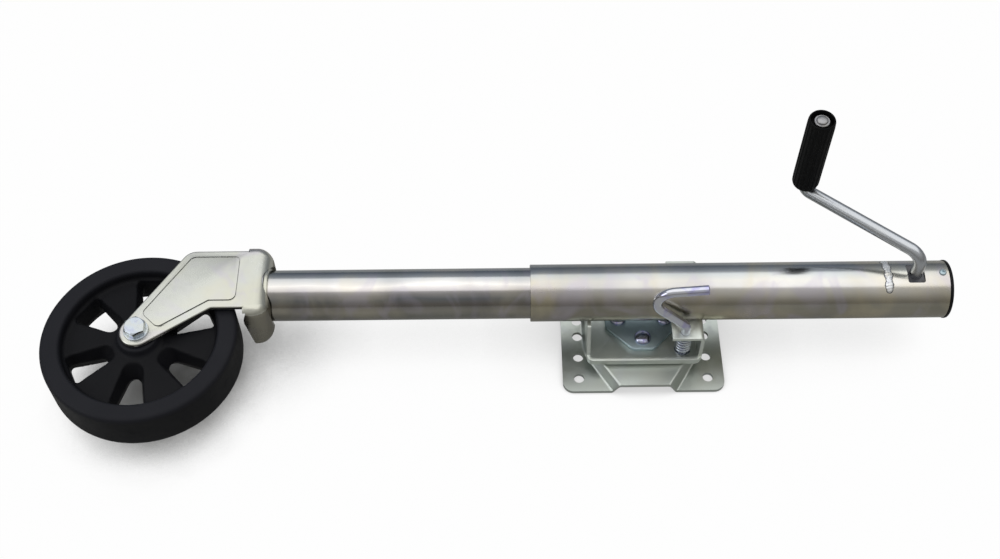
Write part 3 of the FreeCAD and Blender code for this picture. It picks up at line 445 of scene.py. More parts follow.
@dataclass
class Sheet:
    """A node tree under work, with short ways to add and join nodes."""

    tree: bpy.types.NodeTree

    def add(self, kind: str, **settings: object) -> bpy.types.Node:
        """Adds a node.

        Args:
            kind: Node type.
            settings: Its settings.

        Returns:
            The new node.
        """
        node = self.tree.nodes.new(kind)
        for key, value in settings.items():
            setattr(node, key, value)
        return node

    @staticmethod
    def put(node: bpy.types.Node, values: dict[str, object]) -> None:
        """Sets plain values of a node's inputs.

        Args:
            node: The node.
            values: The value of each named input.
        """
        for name, value in values.items():
            node.inputs[name].default_value = value

    def find(self, kind: str) -> bpy.types.Node:
        """Finds the node of a kind.

        Args:
            kind: Its type.

        Returns:
            The first such node.
        """
        return next(node for node in self.tree.nodes if node.type == kind)

    def axes(self, place: bpy.types.NodeSocket) -> dict[str, bpy.types.NodeSocket]:
        """Splits coordinates.

        Args:
            place: The coordinates.

        Returns:
            The sockets of X, Y and Z.
        """
        node = self.add("ShaderNodeSeparateXYZ")
        self.join(place, node.inputs[0])
        return {socket.name: socket for socket in node.outputs}

    def join(self, source: bpy.types.NodeSocket, target: bpy.types.NodeSocket) -> None:
        """Joins two sockets.

        Args:
            source: The output.
            target: The input.
        """
        self.tree.links.new(source, target)

    def feed(self, target: bpy.types.NodeSocket, value: object) -> None:
        """Joins a socket, or sets it where the value is plain.

        Args:
            target: The input.
            value: An output, or a plain number, colour or vector.
        """
        if isinstance(value, bpy.types.NodeSocket):
            self.join(value, target)
        else:
            target.default_value = value

    def sum(self, operation: str, first: object, second: object = 0.0, third: object = 0.0,
            clamp: bool = False) -> bpy.types.NodeSocket:
        """Works out a number.

        Args:
            operation: Math operation.
            first: First term.
            second: Second term.
            third: Third term.
            clamp: Whether the answer is kept from 0 to 1.

        Returns:
            The answer's socket.
        """
        node = self.add("ShaderNodeMath", operation=operation, use_clamp=clamp)
        for socket, value in zip(node.inputs, (first, second, third)):
            self.feed(socket, value)
        return node.outputs[0]

    def blend(self, share: object, first: object, second: object, mode: str = "MIX") -> bpy.types.NodeSocket:
        """Mixes two colours.

        Args:
            share: How much of the second.
            first: First colour.
            second: Second colour.
            mode: Blend mode.

        Returns:
            The mixed colour's socket.
        """
        node = self.add("ShaderNodeMix", data_type="RGBA", blend_type=mode)
        self.feed(node.inputs["Factor"], share)
        for socket, colour in zip(node.inputs[6:8], (first, second)):
            self.feed(socket, (*colour, 1.0) if isinstance(colour, tuple) and len(colour) == 3 else colour)
        return node.outputs[2]

    def shaded(self, colour: bpy.types.NodeSocket, level: bpy.types.NodeSocket) -> bpy.types.NodeSocket:
        """Multiplies a colour by a plain number.

        Args:
            colour: The colour.
            level: The number.

        Returns:
            The new colour's socket.
        """
        grey = self.add("ShaderNodeCombineColor")
        for socket in grey.inputs:
            self.join(level, socket)
        return self.blend(1.0, colour, grey.outputs[0], "MULTIPLY")

    def cover(self, share: bpy.types.NodeSocket, under: bpy.types.Node, over: bpy.types.Node,
              output: bpy.types.Node) -> None:
        """Lays one shader over another and joins them to the output.

        Args:
            share: How much of the upper one shows.
            under: The lower shader.
            over: The upper shader.
            output: The output node.
        """
        mix = self.add("ShaderNodeMixShader")
        for socket, source in zip(mix.inputs, (share, under.outputs[0], over.outputs[0])):
            self.join(source, socket)
        self.join(mix.outputs[0], output.inputs["Surface"])

    def spread(self, value: object, low: object, high: object, to_low: object = 0.0,
               to_high: object = 1.0) -> bpy.types.NodeSocket:
        """Maps a number from one range to another, smoothly and clamped.

        Args:
            value: The number.
            low: Where its range starts.
            high: Where its range ends.
            to_low: Answer at the start.
            to_high: Answer at the end.

        Returns:
            The answer's socket.
        """
        node = self.add("ShaderNodeMapRange", interpolation_type="SMOOTHSTEP")
        for socket, term in zip(node.inputs, (value, low, high, to_low, to_high)):
            self.feed(socket, term)
        return node.outputs[0]

    def noise(self, vector: object, scale: object, detail: float = 3.0, rough: float = 0.5,
              distortion: float = 0.0) -> bpy.types.NodeSocket:
        """Adds a noise pattern.

        Args:
            vector: Its coordinates.
            scale: Its scale for each metre.
            detail: Its detail.
            rough: How strong the fine detail is.
            distortion: How far it is stirred.

        Returns:
            The socket of its value.
        """
        node = self.add("ShaderNodeTexNoise")
        self.feed(node.inputs["Vector"], vector)
        self.feed(node.inputs["Scale"], scale)
        self.put(node, {"Detail": detail, "Roughness": rough, "Distortion": distortion})
        return node.outputs[0]

    def stretched(self, vector: object, scale: Sequence[float],
                  move: Sequence[float] = (0, 0, 0)) -> bpy.types.NodeSocket:
        """Moves and stretches coordinates.

        Args:
            vector: The coordinates.
            scale: Stretch along each axis.
            move: Shift along each axis.

        Returns:
            The socket of the new coordinates.
        """
        node = self.add("ShaderNodeMapping")
        self.feed(node.inputs["Vector"], vector)
        self.put(node, {"Location": move, "Scale": scale})
        return node.outputs[0]


def fill_passivation(sheet: Sheet) -> None:
    """Clouds of yellow and violet over plated metal.

    Args:
        sheet: The group's sheet.
    """
    start, end = sheet.add("NodeGroupInput"), sheet.add("NodeGroupOutput")
    vector, scale, amount = start.outputs["Vector"], start.outputs["Scale"], start.outputs["Amount"]
    yellow = sheet.spread(sheet.noise(vector, scale, 3, 0.55, 0.6), 0.42, 0.68)
    violet_scale = sheet.sum("MULTIPLY", scale, 1.7)
    shifted = sheet.stretched(vector, (1, 1, 1), (3.1, 1.7, 5.3))
    violet = sheet.spread(sheet.noise(shifted, violet_scale, 2, 0.5, 1.2), 0.5, 0.72)
    base = start.outputs["Base"]
    colour = sheet.blend(sheet.sum("MULTIPLY", yellow, amount), base, start.outputs["Yellow"])
    colour = sheet.blend(sheet.sum("MULTIPLY", violet, amount), colour, start.outputs["Violet"])
    sheet.join(colour, end.inputs["Colour"])
    sheet.join(sheet.sum("ADD", yellow, violet), end.inputs["Cloud"])


def fill_scratches(sheet: Sheet) -> None:
    """Fine lines and handling marks, as height and as a mask.

    Args:
        sheet: The group's sheet.
    """
    start, end = sheet.add("NodeGroupInput"), sheet.add("NodeGroupOutput")
    fine = sheet.noise(start.outputs["Vector"], start.outputs["Scale"], 5, 0.6)
    rub_scale = sheet.sum("MULTIPLY", start.outputs["Scale"], 0.12)
    rub = sheet.spread(sheet.noise(start.outputs["Vector"], rub_scale, 2, 0.5), 0.46, 0.7)
    sheet.join(sheet.sum("MULTIPLY", fine, start.outputs["Depth"]), end.inputs["Height"])
    sheet.join(rub, end.inputs["Rub"])


def fill_moulding(sheet: Sheet) -> None:
    """Skin of moulded plastic, fine grain over slow waves, and dust in the pores.

    Args:
        sheet: The group's sheet.
    """
    start, end = sheet.add("NodeGroupInput"), sheet.add("NodeGroupOutput")
    grain = sheet.noise(start.outputs["Vector"], start.outputs["Scale"], 4, 0.6)
    wave_scale = sheet.sum("MULTIPLY", start.outputs["Scale"], 0.04)
    wave = sheet.noise(start.outputs["Vector"], wave_scale, 2, 0.5)
    height = sheet.sum("ADD", sheet.sum("MULTIPLY", grain, 0.3), wave)
    sheet.join(height, end.inputs["Height"])
    dust_scale = sheet.sum("MULTIPLY", start.outputs["Scale"], 0.15)
    dust = sheet.spread(sheet.noise(start.outputs["Vector"], dust_scale, 6, 0.7), 0.52, 0.75)
    sheet.join(dust, end.inputs["Dust"])
    sheet.join(sheet.spread(wave, 0.3, 0.7), end.inputs["Wave"])


@dataclass(frozen=True)
class Finish:
    """Base of the finishes: a named material with a Principled shader."""

    name: str
    slot: str
    base: Colour
    roughness: float = 0.3
    metallic: float = 1.0

    def start(self) -> tuple[Sheet, bpy.types.Node, bpy.types.NodeSocket]:
        """Opens the material.

        Returns:
            Its sheet, its shader and its Object coordinates.
        """
        material = bpy.data.materials.new(self.name)
        material.use_nodes = True
        sheet = Sheet(material.node_tree)
        shader = sheet.find("BSDF_PRINCIPLED")
        shader.inputs["Metallic"].default_value = self.metallic
        coordinates = sheet.add("ShaderNodeTexCoord").outputs["Object"]
        return sheet, shader, coordinates

    def material(self) -> bpy.types.Material:
        """Gives the material, which is built at its first use.

        Returns:
            The material.
        """
        found = bpy.data.materials.get(self.name)
        return found if found else self.build()

    def build(self) -> bpy.types.Material:
        """Builds the material's nodes.

        Returns:
            The new material.
        """
        raise NotImplementedError

    def bump(self, sheet: Sheet, shader: bpy.types.Node, height: bpy.types.NodeSocket, depth: float) -> None:
        """Feeds a height to the shader's normal.

        Args:
            sheet: The material's sheet.
            shader: Its shader.
            height: The height's socket.
            depth: Height of the full range in millimetres.
        """
        node = sheet.add("ShaderNodeBump")
        sheet.put(node, {"Strength": 1.0, "Distance": depth * MM})
        sheet.join(height, node.inputs["Height"])
        sheet.join(node.outputs["Normal"], shader.inputs["Normal"])


@dataclass(frozen=True)
class Plating(Finish):
    """Zinc plating with its passivation clouds and handling marks; on the tubes, painted reflections in bands
    round the tube.
    """

    yellow: Colour = (0.72, 0.66, 0.42)
    violet: Colour = (0.56, 0.5, 0.62)
    amount: float = 0.5
    cloud: float = 9.0
    stretch: tuple[float, float, float] = (1, 1, 1)
    marks: tuple[float, float, float] = (1, 1, 1)
    mark_scale: float = 900.0
    depth: float = 0.02
    rub: float = 0.35
    pattern: Pattern = Pattern.CLOUDS
    bands: Sequence[tuple[float, Colour]] = ()

    def painted_reflection_bands(self, sheet: Sheet, place: bpy.types.NodeSocket) -> bpy.types.NodeSocket:
        """Painted reflections: colour that runs in bands round the tube and drifts along it, with a painted
        gleam that brightens and dims it along the tube.

        Args:
            sheet: The material's sheet.
            place: Object coordinates.

        Returns:
            The colour's socket.
        """
        axes = sheet.axes(place)
        drift = sheet.noise(sheet.stretched(place, (9, 30, 30)), 1.0, 3, 0.5)
        rise = sheet.sum("SUBTRACT", axes["Z"], AXIS_Z * MM)
        angle = sheet.sum("ARCTAN2", sheet.sum("MULTIPLY", axes["Y"], -1.0), rise)
        share = sheet.sum("MULTIPLY_ADD", angle, 1 / (2 * math.pi), 0.5)
        share = sheet.sum("ADD", share, sheet.sum("MULTIPLY_ADD", drift, 0.09, -0.045))
        ramp = sheet.add("ShaderNodeValToRGB")
        stops = ramp.color_ramp.elements
        while len(stops) < len(self.bands):
            stops.new(0.5)
        for stop, (degrees, colour) in zip(stops, self.bands):
            stop.position = degrees / 360 + 0.5
            stop.color = (*colour, 1)
        sheet.join(share, ramp.inputs[0])
        # Painted highlight: the bands brighten and dim along the tube, as the lamp's reflection does.
        gleam = sheet.noise(sheet.stretched(place, (13, 4, 4)), 1.0, 2, 0.5)
        return sheet.shaded(ramp.outputs[0], sheet.spread(gleam, 0.3, 0.7, 0.84, 1.14))

    def build(self) -> bpy.types.Material:
        """Builds the plated metal.

        Returns:
            The new material.
        """
        sheet, shader, place = self.start()
        base: object = (*self.base, 1.0)
        # On the tubes the painted reflection bands take the place of the plain base colour.
        if self.pattern is Pattern.TUBE_REFLECTION_BANDS:
            base = self.painted_reflection_bands(sheet, place)
        clouds = sheet.add("ShaderNodeGroup", node_tree=Shelf.group(
            "passivation", [("Vector", "NodeSocketVector", None), ("Scale", "NodeSocketFloat", 9.0),
                            ("Amount", "NodeSocketFloat", 0.5), ("Base", "NodeSocketColor", None),
                            ("Yellow", "NodeSocketColor", None), ("Violet", "NodeSocketColor", None)],
            [("Colour", "NodeSocketColor"), ("Cloud", "NodeSocketFloat")], fill_passivation))
        sheet.join(sheet.stretched(place, self.stretch), clouds.inputs["Vector"])
        sheet.feed(clouds.inputs["Base"], base)
        sheet.put(clouds, {"Scale": self.cloud, "Amount": self.amount, "Yellow": (*self.yellow, 1),
                           "Violet": (*self.violet, 1)})
        marks = self.marks_node(sheet, place)
        sheet.join(clouds.outputs["Colour"], shader.inputs["Base Color"])
        rough = sheet.sum("MULTIPLY_ADD", marks.outputs["Rub"], self.roughness * self.rub, self.roughness)
        rough = sheet.sum("MULTIPLY_ADD", clouds.outputs["Cloud"], self.roughness * 0.15, rough)
        sheet.join(rough, shader.inputs["Roughness"])
        self.bump(sheet, shader, marks.outputs["Height"], self.depth)
        return bpy.data.materials[self.name]

    def marks_node(self, sheet: Sheet, place: bpy.types.NodeSocket) -> bpy.types.Node:
        """Adds the shared scratches with this finish's direction and scale.

        Args:
            sheet: The material's sheet.
            place: Object coordinates.

        Returns:
            The group node.
        """
        marks = sheet.add("ShaderNodeGroup", node_tree=Shelf.group(
            "handling marks", [("Vector", "NodeSocketVector", None), ("Scale", "NodeSocketFloat", 900.0),
                               ("Depth", "NodeSocketFloat", 1.0)],
            [("Height", "NodeSocketFloat"), ("Rub", "NodeSocketFloat")], fill_scratches))
        sheet.join(sheet.stretched(place, self.marks), marks.inputs["Vector"])
        marks.inputs["Scale"].default_value = self.mark_scale
        return marks


@dataclass(frozen=True)
class Moulding(Finish):
    """Black moulded plastic with fine grain and a trace of dust."""

    metallic: float = 0.0
    grain: float = 700.0
    depth: float = 0.05
    dust: Colour = (0.08, 0.08, 0.085)
    dust_amount: float = 0.35
    specular: float = 0.4
    well: tuple[float, float] | None = None
    well_shade: float = 0.4

    def painted_well_shade(self, sheet: Sheet, place: bpy.types.NodeSocket,
               colour: bpy.types.NodeSocket) -> bpy.types.NodeSocket:
        """Paints the plastic darker in the well between rim and hub, as painted shade in the recess.

        Args:
            sheet: The material's sheet.
            place: Object coordinates.
            colour: The plastic's colour.

        Returns:
            The dimmed colour's socket.
        """
        rise = sheet.sum("ABSOLUTE", sheet.sum("SUBTRACT", sheet.axes(place)["Z"], AXIS_Z * MM))
        level = sheet.spread(rise, self.well[0] * MM, self.well[1] * MM, self.well_shade, 1.0)
        return sheet.shaded(colour, level)

    def build(self) -> bpy.types.Material:
        """Builds the plastic.

        Returns:
            The new material.
        """
        sheet, shader, place = self.start()
        shader.inputs["Specular IOR Level"].default_value = self.specular
        skin = sheet.add("ShaderNodeGroup", node_tree=Shelf.group(
            "moulded skin", [("Vector", "NodeSocketVector", None), ("Scale", "NodeSocketFloat", 700.0)],
            [("Height", "NodeSocketFloat"), ("Dust", "NodeSocketFloat"), ("Wave", "NodeSocketFloat")],
            fill_moulding))
        sheet.join(place, skin.inputs["Vector"])
        skin.inputs["Scale"].default_value = self.grain
        share = sheet.sum("MULTIPLY", skin.outputs["Dust"], self.dust_amount)
        colour = sheet.blend(share, self.base, self.dust)
        # Painted shade in the recessed well, where one is given.
        if self.well:
            colour = self.painted_well_shade(sheet, place, colour)
        sheet.join(colour, shader.inputs["Base Color"])
        rough = sheet.sum("MULTIPLY_ADD", skin.outputs["Wave"], 0.08, self.roughness)
        rough = sheet.sum("MULTIPLY_ADD", skin.outputs["Dust"], 0.12, rough)
        sheet.join(rough, shader.inputs["Roughness"])
        self.bump(sheet, shader, skin.outputs["Height"], self.depth)
        return bpy.data.materials[self.name]


# Painted reflections: colour stops by angle round the tube's axis in degrees, standing in for the lamp, room
# and floor that the bright tube and leg reflect.
TUBE_REFLECTION_BANDS = ((-180.0, (0.46, 0.46, 0.43)), (-42.0, (0.38, 0.41, 0.45)), (-14.0, (0.44, 0.47, 0.5)),
              (0.0, (0.54, 0.56, 0.56)), (13.0, (0.62, 0.61, 0.58)), (25.0, (0.6, 0.59, 0.58)),
              (35.0, (0.54, 0.52, 0.48)), (50.0, (0.4, 0.38, 0.33)), (70.0, (0.31, 0.3, 0.25)),
              (86.0, (0.33, 0.31, 0.26)), (115.0, (0.34, 0.33, 0.28)), (160.0, (0.44, 0.44, 0.4)))
LEG_REFLECTION_BANDS = ((-180.0, (0.4, 0.4, 0.37)), (-42.0, (0.32, 0.36, 0.4)), (-14.0, (0.42, 0.45, 0.48)),
             (2.0, (0.56, 0.56, 0.56)), (14.0, (0.76, 0.74, 0.72)), (27.0, (0.48, 0.46, 0.47)),
             (38.0, (0.28, 0.27, 0.27)), (50.0, (0.16, 0.17, 0.18)), (64.0, (0.22, 0.21, 0.2)),
             (78.0, (0.28, 0.27, 0.24)), (96.0, (0.22, 0.22, 0.2)), (160.0, (0.36, 0.36, 0.33)))
ZINC_TUBE = Plating("passivated tube with painted reflections", "zinc_tube", (0.6, 0.6, 0.56), 0.19, yellow=(0.66, 0.58, 0.38),
                    violet=(0.5, 0.46, 0.58), amount=0.4, cloud=9.0, stretch=(1.7, 1.1, 1.1),
                    marks=(0.06, 1, 1), mark_scale=800, depth=0.006, rub=0.3, pattern=Pattern.TUBE_REFLECTION_BANDS,
                    bands=TUBE_REFLECTION_BANDS)
ZINC_LEG = Plating("passivated leg with painted reflections", "zinc_tube", (0.6, 0.6, 0.56), 0.15, yellow=(0.6, 0.55, 0.42),
                   violet=(0.48, 0.44, 0.56), amount=0.3, cloud=11.0, stretch=(1.7, 1.1, 1.1),
                   marks=(0.06, 1, 1), mark_scale=800, depth=0.006, rub=0.3, pattern=Pattern.TUBE_REFLECTION_BANDS,
                   bands=LEG_REFLECTION_BANDS)
ZINC_BRACKET = Plating("satin plated pressing", "zinc_bracket", (0.5, 0.54, 0.51), 0.31,
                       yellow=(0.54, 0.54, 0.46), violet=(0.47, 0.49, 0.53), amount=0.25, cloud=14.0,
                       mark_scale=1500, depth=0.004, rub=0.15)
ZINC_SADDLE = Plating("matt plated saddle", "zinc_bracket", (0.66, 0.7, 0.66), 0.43,
                      yellow=(0.68, 0.68, 0.58), violet=(0.6, 0.63, 0.67), amount=0.25, cloud=14.0,
                      mark_scale=1500, depth=0.004, rub=0.12)
# Painted shade: a darker copy of the yoke's plating for its upright skirt walls.
ZINC_SKIRT = Plating("shaded yoke skirt", "zinc_yoke", (0.28, 0.27, 0.23), 0.26, yellow=(0.34, 0.31, 0.24),
                     violet=(0.27, 0.26, 0.29), amount=0.4, cloud=15.0, mark_scale=1200, depth=0.003,
                     rub=0.12)
ZINC_YOKE = Plating("pale plated yoke", "zinc_yoke", (0.55, 0.56, 0.52), 0.27, yellow=(0.6, 0.58, 0.46),
                    violet=(0.55, 0.52, 0.6), amount=0.5, cloud=15.0, mark_scale=1200, depth=0.003, rub=0.12)
# Painted shade: darker grey for the step round the yoke's pressed panel and its inset border.
YOKE_STEP = Plating("grey line round the panel", "zinc_yoke", (0.25, 0.26, 0.27), 0.45,
                    yellow=(0.2, 0.19, 0.15), violet=(0.14, 0.14, 0.17), amount=0.4, cloud=60.0,
                    mark_scale=1200, depth=0.012)
BLUE_ZINC = Plating("blue passivated plate", "blue_zinc", (0.46, 0.57, 0.62), 0.4, yellow=(0.5, 0.59, 0.6),
                    violet=(0.45, 0.5, 0.62), amount=0.25, cloud=14.0, mark_scale=1500, depth=0.004,
                    rub=0.2)
BRIGHT_ROD = Plating("bright drawn bar", "bright_rod", (0.6, 0.62, 0.7), 0.11, yellow=(0.62, 0.62, 0.62),
                     violet=(0.36, 0.33, 0.66), amount=0.6, cloud=30.0, mark_scale=1400, depth=0.006,
                     rub=0.3)
SATIN_ROD = Plating("satin plated bar", "bright_rod", (0.5, 0.52, 0.55), 0.25, yellow=(0.52, 0.53, 0.52),
                    violet=(0.44, 0.46, 0.54), amount=0.25, cloud=30.0, mark_scale=1400, depth=0.002,
                    rub=0.06)
BOLT_STEEL = Plating("plated fastener", "bolt_steel", (0.5, 0.55, 0.61), 0.22, yellow=(0.58, 0.58, 0.5),
                     violet=(0.4, 0.4, 0.56), amount=0.5, cloud=60.0, mark_scale=2000, depth=0.012)
RIVET_STEEL = Plating("violet rivet heads", "blue_zinc", (0.44, 0.46, 0.6), 0.13, yellow=(0.5, 0.5, 0.56),
                      violet=(0.28, 0.24, 0.5), amount=0.7, cloud=80.0, mark_scale=1800, depth=0.01)
WELD_ZINC = Plating("plated weld", "zinc_tube", (0.9, 0.92, 0.94), 0.4, yellow=(0.68, 0.64, 0.54),
                    violet=(0.52, 0.52, 0.62), amount=0.5, cloud=90.0, mark_scale=1200, depth=0.05)
PLAIN_STEEL = Plating("oiled steel", "plain_steel", (0.36, 0.36, 0.37), 0.36, yellow=(0.4, 0.37, 0.3),
                      violet=(0.34, 0.34, 0.38), amount=0.3, cloud=40.0, mark_scale=1500, depth=0.015)
DARK_STEEL = Plating("dark oiled steel", "bolt_steel", (0.12, 0.12, 0.13), 0.42, yellow=(0.14, 0.12, 0.1),
                     violet=(0.1, 0.1, 0.12), amount=0.3, cloud=40.0, mark_scale=1500, depth=0.015)
GEAR_STEEL = Plating("machined gear steel", "gear_steel", (0.4, 0.39, 0.38), 0.3, yellow=(0.44, 0.4, 0.32),
                     violet=(0.36, 0.36, 0.42), amount=0.3, cloud=60.0, mark_scale=2500, depth=0.015)
BRONZE = Plating("greased bronze", "bronze", (0.42, 0.35, 0.23), 0.4, yellow=(0.5, 0.42, 0.26),
                 violet=(0.3, 0.26, 0.2), amount=0.4, cloud=50.0, mark_scale=2500, depth=0.02)
# Painted shade: the wheel's plastic is darker in the recessed well between rim and hub.
WHEEL_PLASTIC = Moulding("black wheel plastic", "wheel_plastic", (0.013, 0.0135, 0.0175), 0.5, specular=0.12,
                         dust=(0.022, 0.022, 0.026), well=(15.0, 21.5))
GRIP_PLASTIC = Moulding("black grip plastic", "grip_plastic", (0.0035, 0.0035, 0.004), 0.45, grain=1200.0,
                        depth=0.03, specular=0.1, dust=(0.008, 0.008, 0.009))
CAP_PLASTIC = Moulding("black cap plastic", "cap_plastic", (0.005, 0.005, 0.006), 0.42, grain=1100.0,
                       specular=0.15, dust=(0.012, 0.012, 0.014))
BUSH_PLASTIC = Moulding("grey bush plastic", "bush_plastic", (0.03, 0.03, 0.03), 0.45, grain=1200.0)


# Sub-assemblies


@dataclass
class Workshop:
    """The loaded frame, with the ways to dress and enter pieces."""

    nodes: dict[str, bpy.types.Object]

    def enter(self, piece: bpy.types.Object, finish: Finish, body: str, *replaced: str,
              smooth: float = 40.0) -> None:
        """Finishes a new piece: material, smooth shading, body and what it stands for.

        Args:
            piece: The new piece.
            finish: Its finish.
            body: The body that it moves with.
            replaced: Frame nodes that it stands for.
            smooth: Angle up to which it is shaded smooth.
        """
        Bench.smooth(piece, smooth)
        piece.data.materials.clear()
        piece.data.materials.append(finish.material())
        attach(piece, body)
        if replaced:
            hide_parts(*replaced)
        log.info("%s: %d faces on %s", piece.name, len(piece.data.polygons), body)

    def dress(self, finish: Finish, *names: str) -> None:
        """Gives frame nodes their finish.

        Args:
            finish: The finish.
            names: The nodes.
        """
        for name in names:
            node = self.nodes[name]
            node.data.materials.clear()
            node.data.materials.append(finish.material())
            log.info("%s: dressed in %s", name, finish.name)


def along_tube() -> Matrix:
    """Placing that lays a turned piece along the tube, its height becoming X.

    Returns:
        The placing, in metres.
    """
    return Matrix.Translation((0, 0, AXIS_Z * MM)) @ Matrix.Rotation(math.pi / 2, 4, "Y")


def upright(x: float, y: float, z: float) -> Matrix:
    """Placing of a turned piece that stands on a point.

    Args:
        x: Place along the tube in millimetres.
        y: Place across it.
        z: Height over the floor.

    Returns:
        The placing, in metres.
    """
    return Matrix.Translation(Vector((x, y, z)) * MM)


def dome(radius: float, height: float) -> list[tuple[float, float]]:
    """Profile of a rivet head, rounded over a short edge.

    Args:
        radius: Radius of the head in millimetres.
        height: Height of the head.

    Returns:
        Radius and height of each ring, from the edge to the top.
    """
    points = [(radius, 0.0), (radius, height * 0.25)]
    for step in range(1, 9):
        angle = math.pi / 2 * step / 8
        points.append((radius * math.cos(angle), height * (0.25 + 0.75 * math.sin(angle))))
    return points


@dataclass
class MainTube:
    """Outer tube with its crank window, cap and blind rivet."""

    radius: float = TUBE_R
    bore: float = 25.575
    low_x: float = -115.0
    high_x: float = 298.0
    window: tuple[float, float] = (17.0, 21.0)
    crank_x: float = 265.0
    rivet_x: float = 291.5

    def build(self, shop: Workshop) -> None:
        """Models and dresses the tube's pieces.

        Args:
            shop: The workshop.
        """
        edge = 0.5
        profile = [(self.bore, self.low_x + edge), (self.bore + edge, self.low_x),
                   (self.radius - edge, self.low_x), (self.radius - edge * 0.3, self.low_x + edge * 0.3),
                   (self.radius, self.low_x + edge), (self.radius, self.high_x - edge),
                   (self.radius - edge, self.high_x), (self.bore, self.high_x)]
        tube = Bench.turned("outer_tube_shell", profile, 160, bored=True)
        Bench.place(tube, along_tube())
        window = Bench.block("window tool", (*self.window, 40), (self.crank_x, 0, AXIS_Z + 28), 2.0)
        Bench.work(tube, window, Cut.TAKE_AWAY)
        shop.enter(tube, ZINC_TUBE, "jack", "outer_tube", smooth=30)
        self.build_cap(shop)
        self.build_rivet(shop)
        shop.dress(WELD_ZINC, "bearing_plate")
        shop.dress(DARK_STEEL, "upper_bush")
        shop.dress(BRONZE, "lower_bush")

    def build_cap(self, shop: Workshop) -> None:
        """Models the plastic cap, its rim rounded and its face slightly crowned.

        Args:
            shop: The workshop.
        """
        outer, depth, rim, crown = self.radius + 0.6, 3.5, 2.2, 1.1
        inside = self.bore - 0.05
        profile = [(inside - 2.5, self.high_x - 13), (inside, self.high_x - 13), (inside, self.high_x),
                   (outer, self.high_x)]
        for step in range(0, 7):
            angle = math.pi / 2 * step / 6
            profile.append((outer - rim + rim * math.cos(angle), self.high_x + crown + rim * math.sin(angle)))
        profile += [(18.0, self.high_x + depth), (6.0, self.high_x + depth), (0.0, self.high_x + depth)]
        profile = [(0.0, self.high_x + 0.5), (inside - 2.5, self.high_x + 0.5)] + profile
        cap = Bench.turned("end_cap_moulding", profile, 96)
        Bench.place(cap, along_tube())
        shop.enter(cap, CAP_PLASTIC, "jack", "end_cap")

    def build_rivet(self, shop: Workshop) -> None:
        """Models the blind rivet with the dimple of its drawn mandrel.

        Args:
            shop: The workshop.
        """
        shank = [(0.0, -3.0), (2.0, -3.0), (2.0, -0.1)]
        head = [(3.5, 0.0), (3.5, 0.5), (3.2, 1.1), (2.4, 1.5), (1.5, 1.6)]
        dimple = [(1.2, 1.3), (1.1, 0.5), (0.0, 0.5)]
        rivet = Bench.turned("cap_rivet_head", shank + head + dimple, 40)
        Bench.place(rivet, upright(self.rivet_x, 0, AXIS_Z + self.radius))
        shop.enter(rivet, BLUE_ZINC, "jack", "cap_rivet")


@dataclass
class Leg:
    """Inner tube, its collar and the parts inside it."""

    radius: float = 25.425
    bore: float = 22.825
    low_x: float = -378.2
    high_x: float = -24.0
    collar_r: float = 29.0
    collar_t: float = 4.0

    def build(self, shop: Workshop) -> None:
        """Models and dresses the leg.

        Args:
            shop: The workshop.
        """
        profile = [(self.bore, self.low_x), (self.radius, self.low_x), (self.radius, self.high_x),
                   (self.bore, self.high_x)]
        tube = Bench.turned("leg_tube_shell", profile, 160, bored=True)
        Bench.place(tube, along_tube())
        shop.enter(tube, ZINC_LEG, "leg", "inner_tube", smooth=30)
        r, t, x = self.collar_r, self.collar_t, self.low_x
        ring = [(self.radius + 0.05, x), (r - 1, x), (r - 0.3, x + 0.3), (r, x + 1), (r, x + t - 1.6),
                (r - 0.5, x + t - 0.5), (r - 1.6, x + t), (self.radius + 0.05, x + t)]
        collar = Bench.turned("leg_collar_ring", ring, 96, bored=True)
        Bench.place(collar, along_tube())
        shop.enter(collar, ZINC_YOKE, "leg", "swivel_collar")
        shop.dress(PLAIN_STEEL, "leg_plug", "kingpin", "kingpin_washer", "nut_pins")
        shop.dress(BRONZE, "lead_nut")


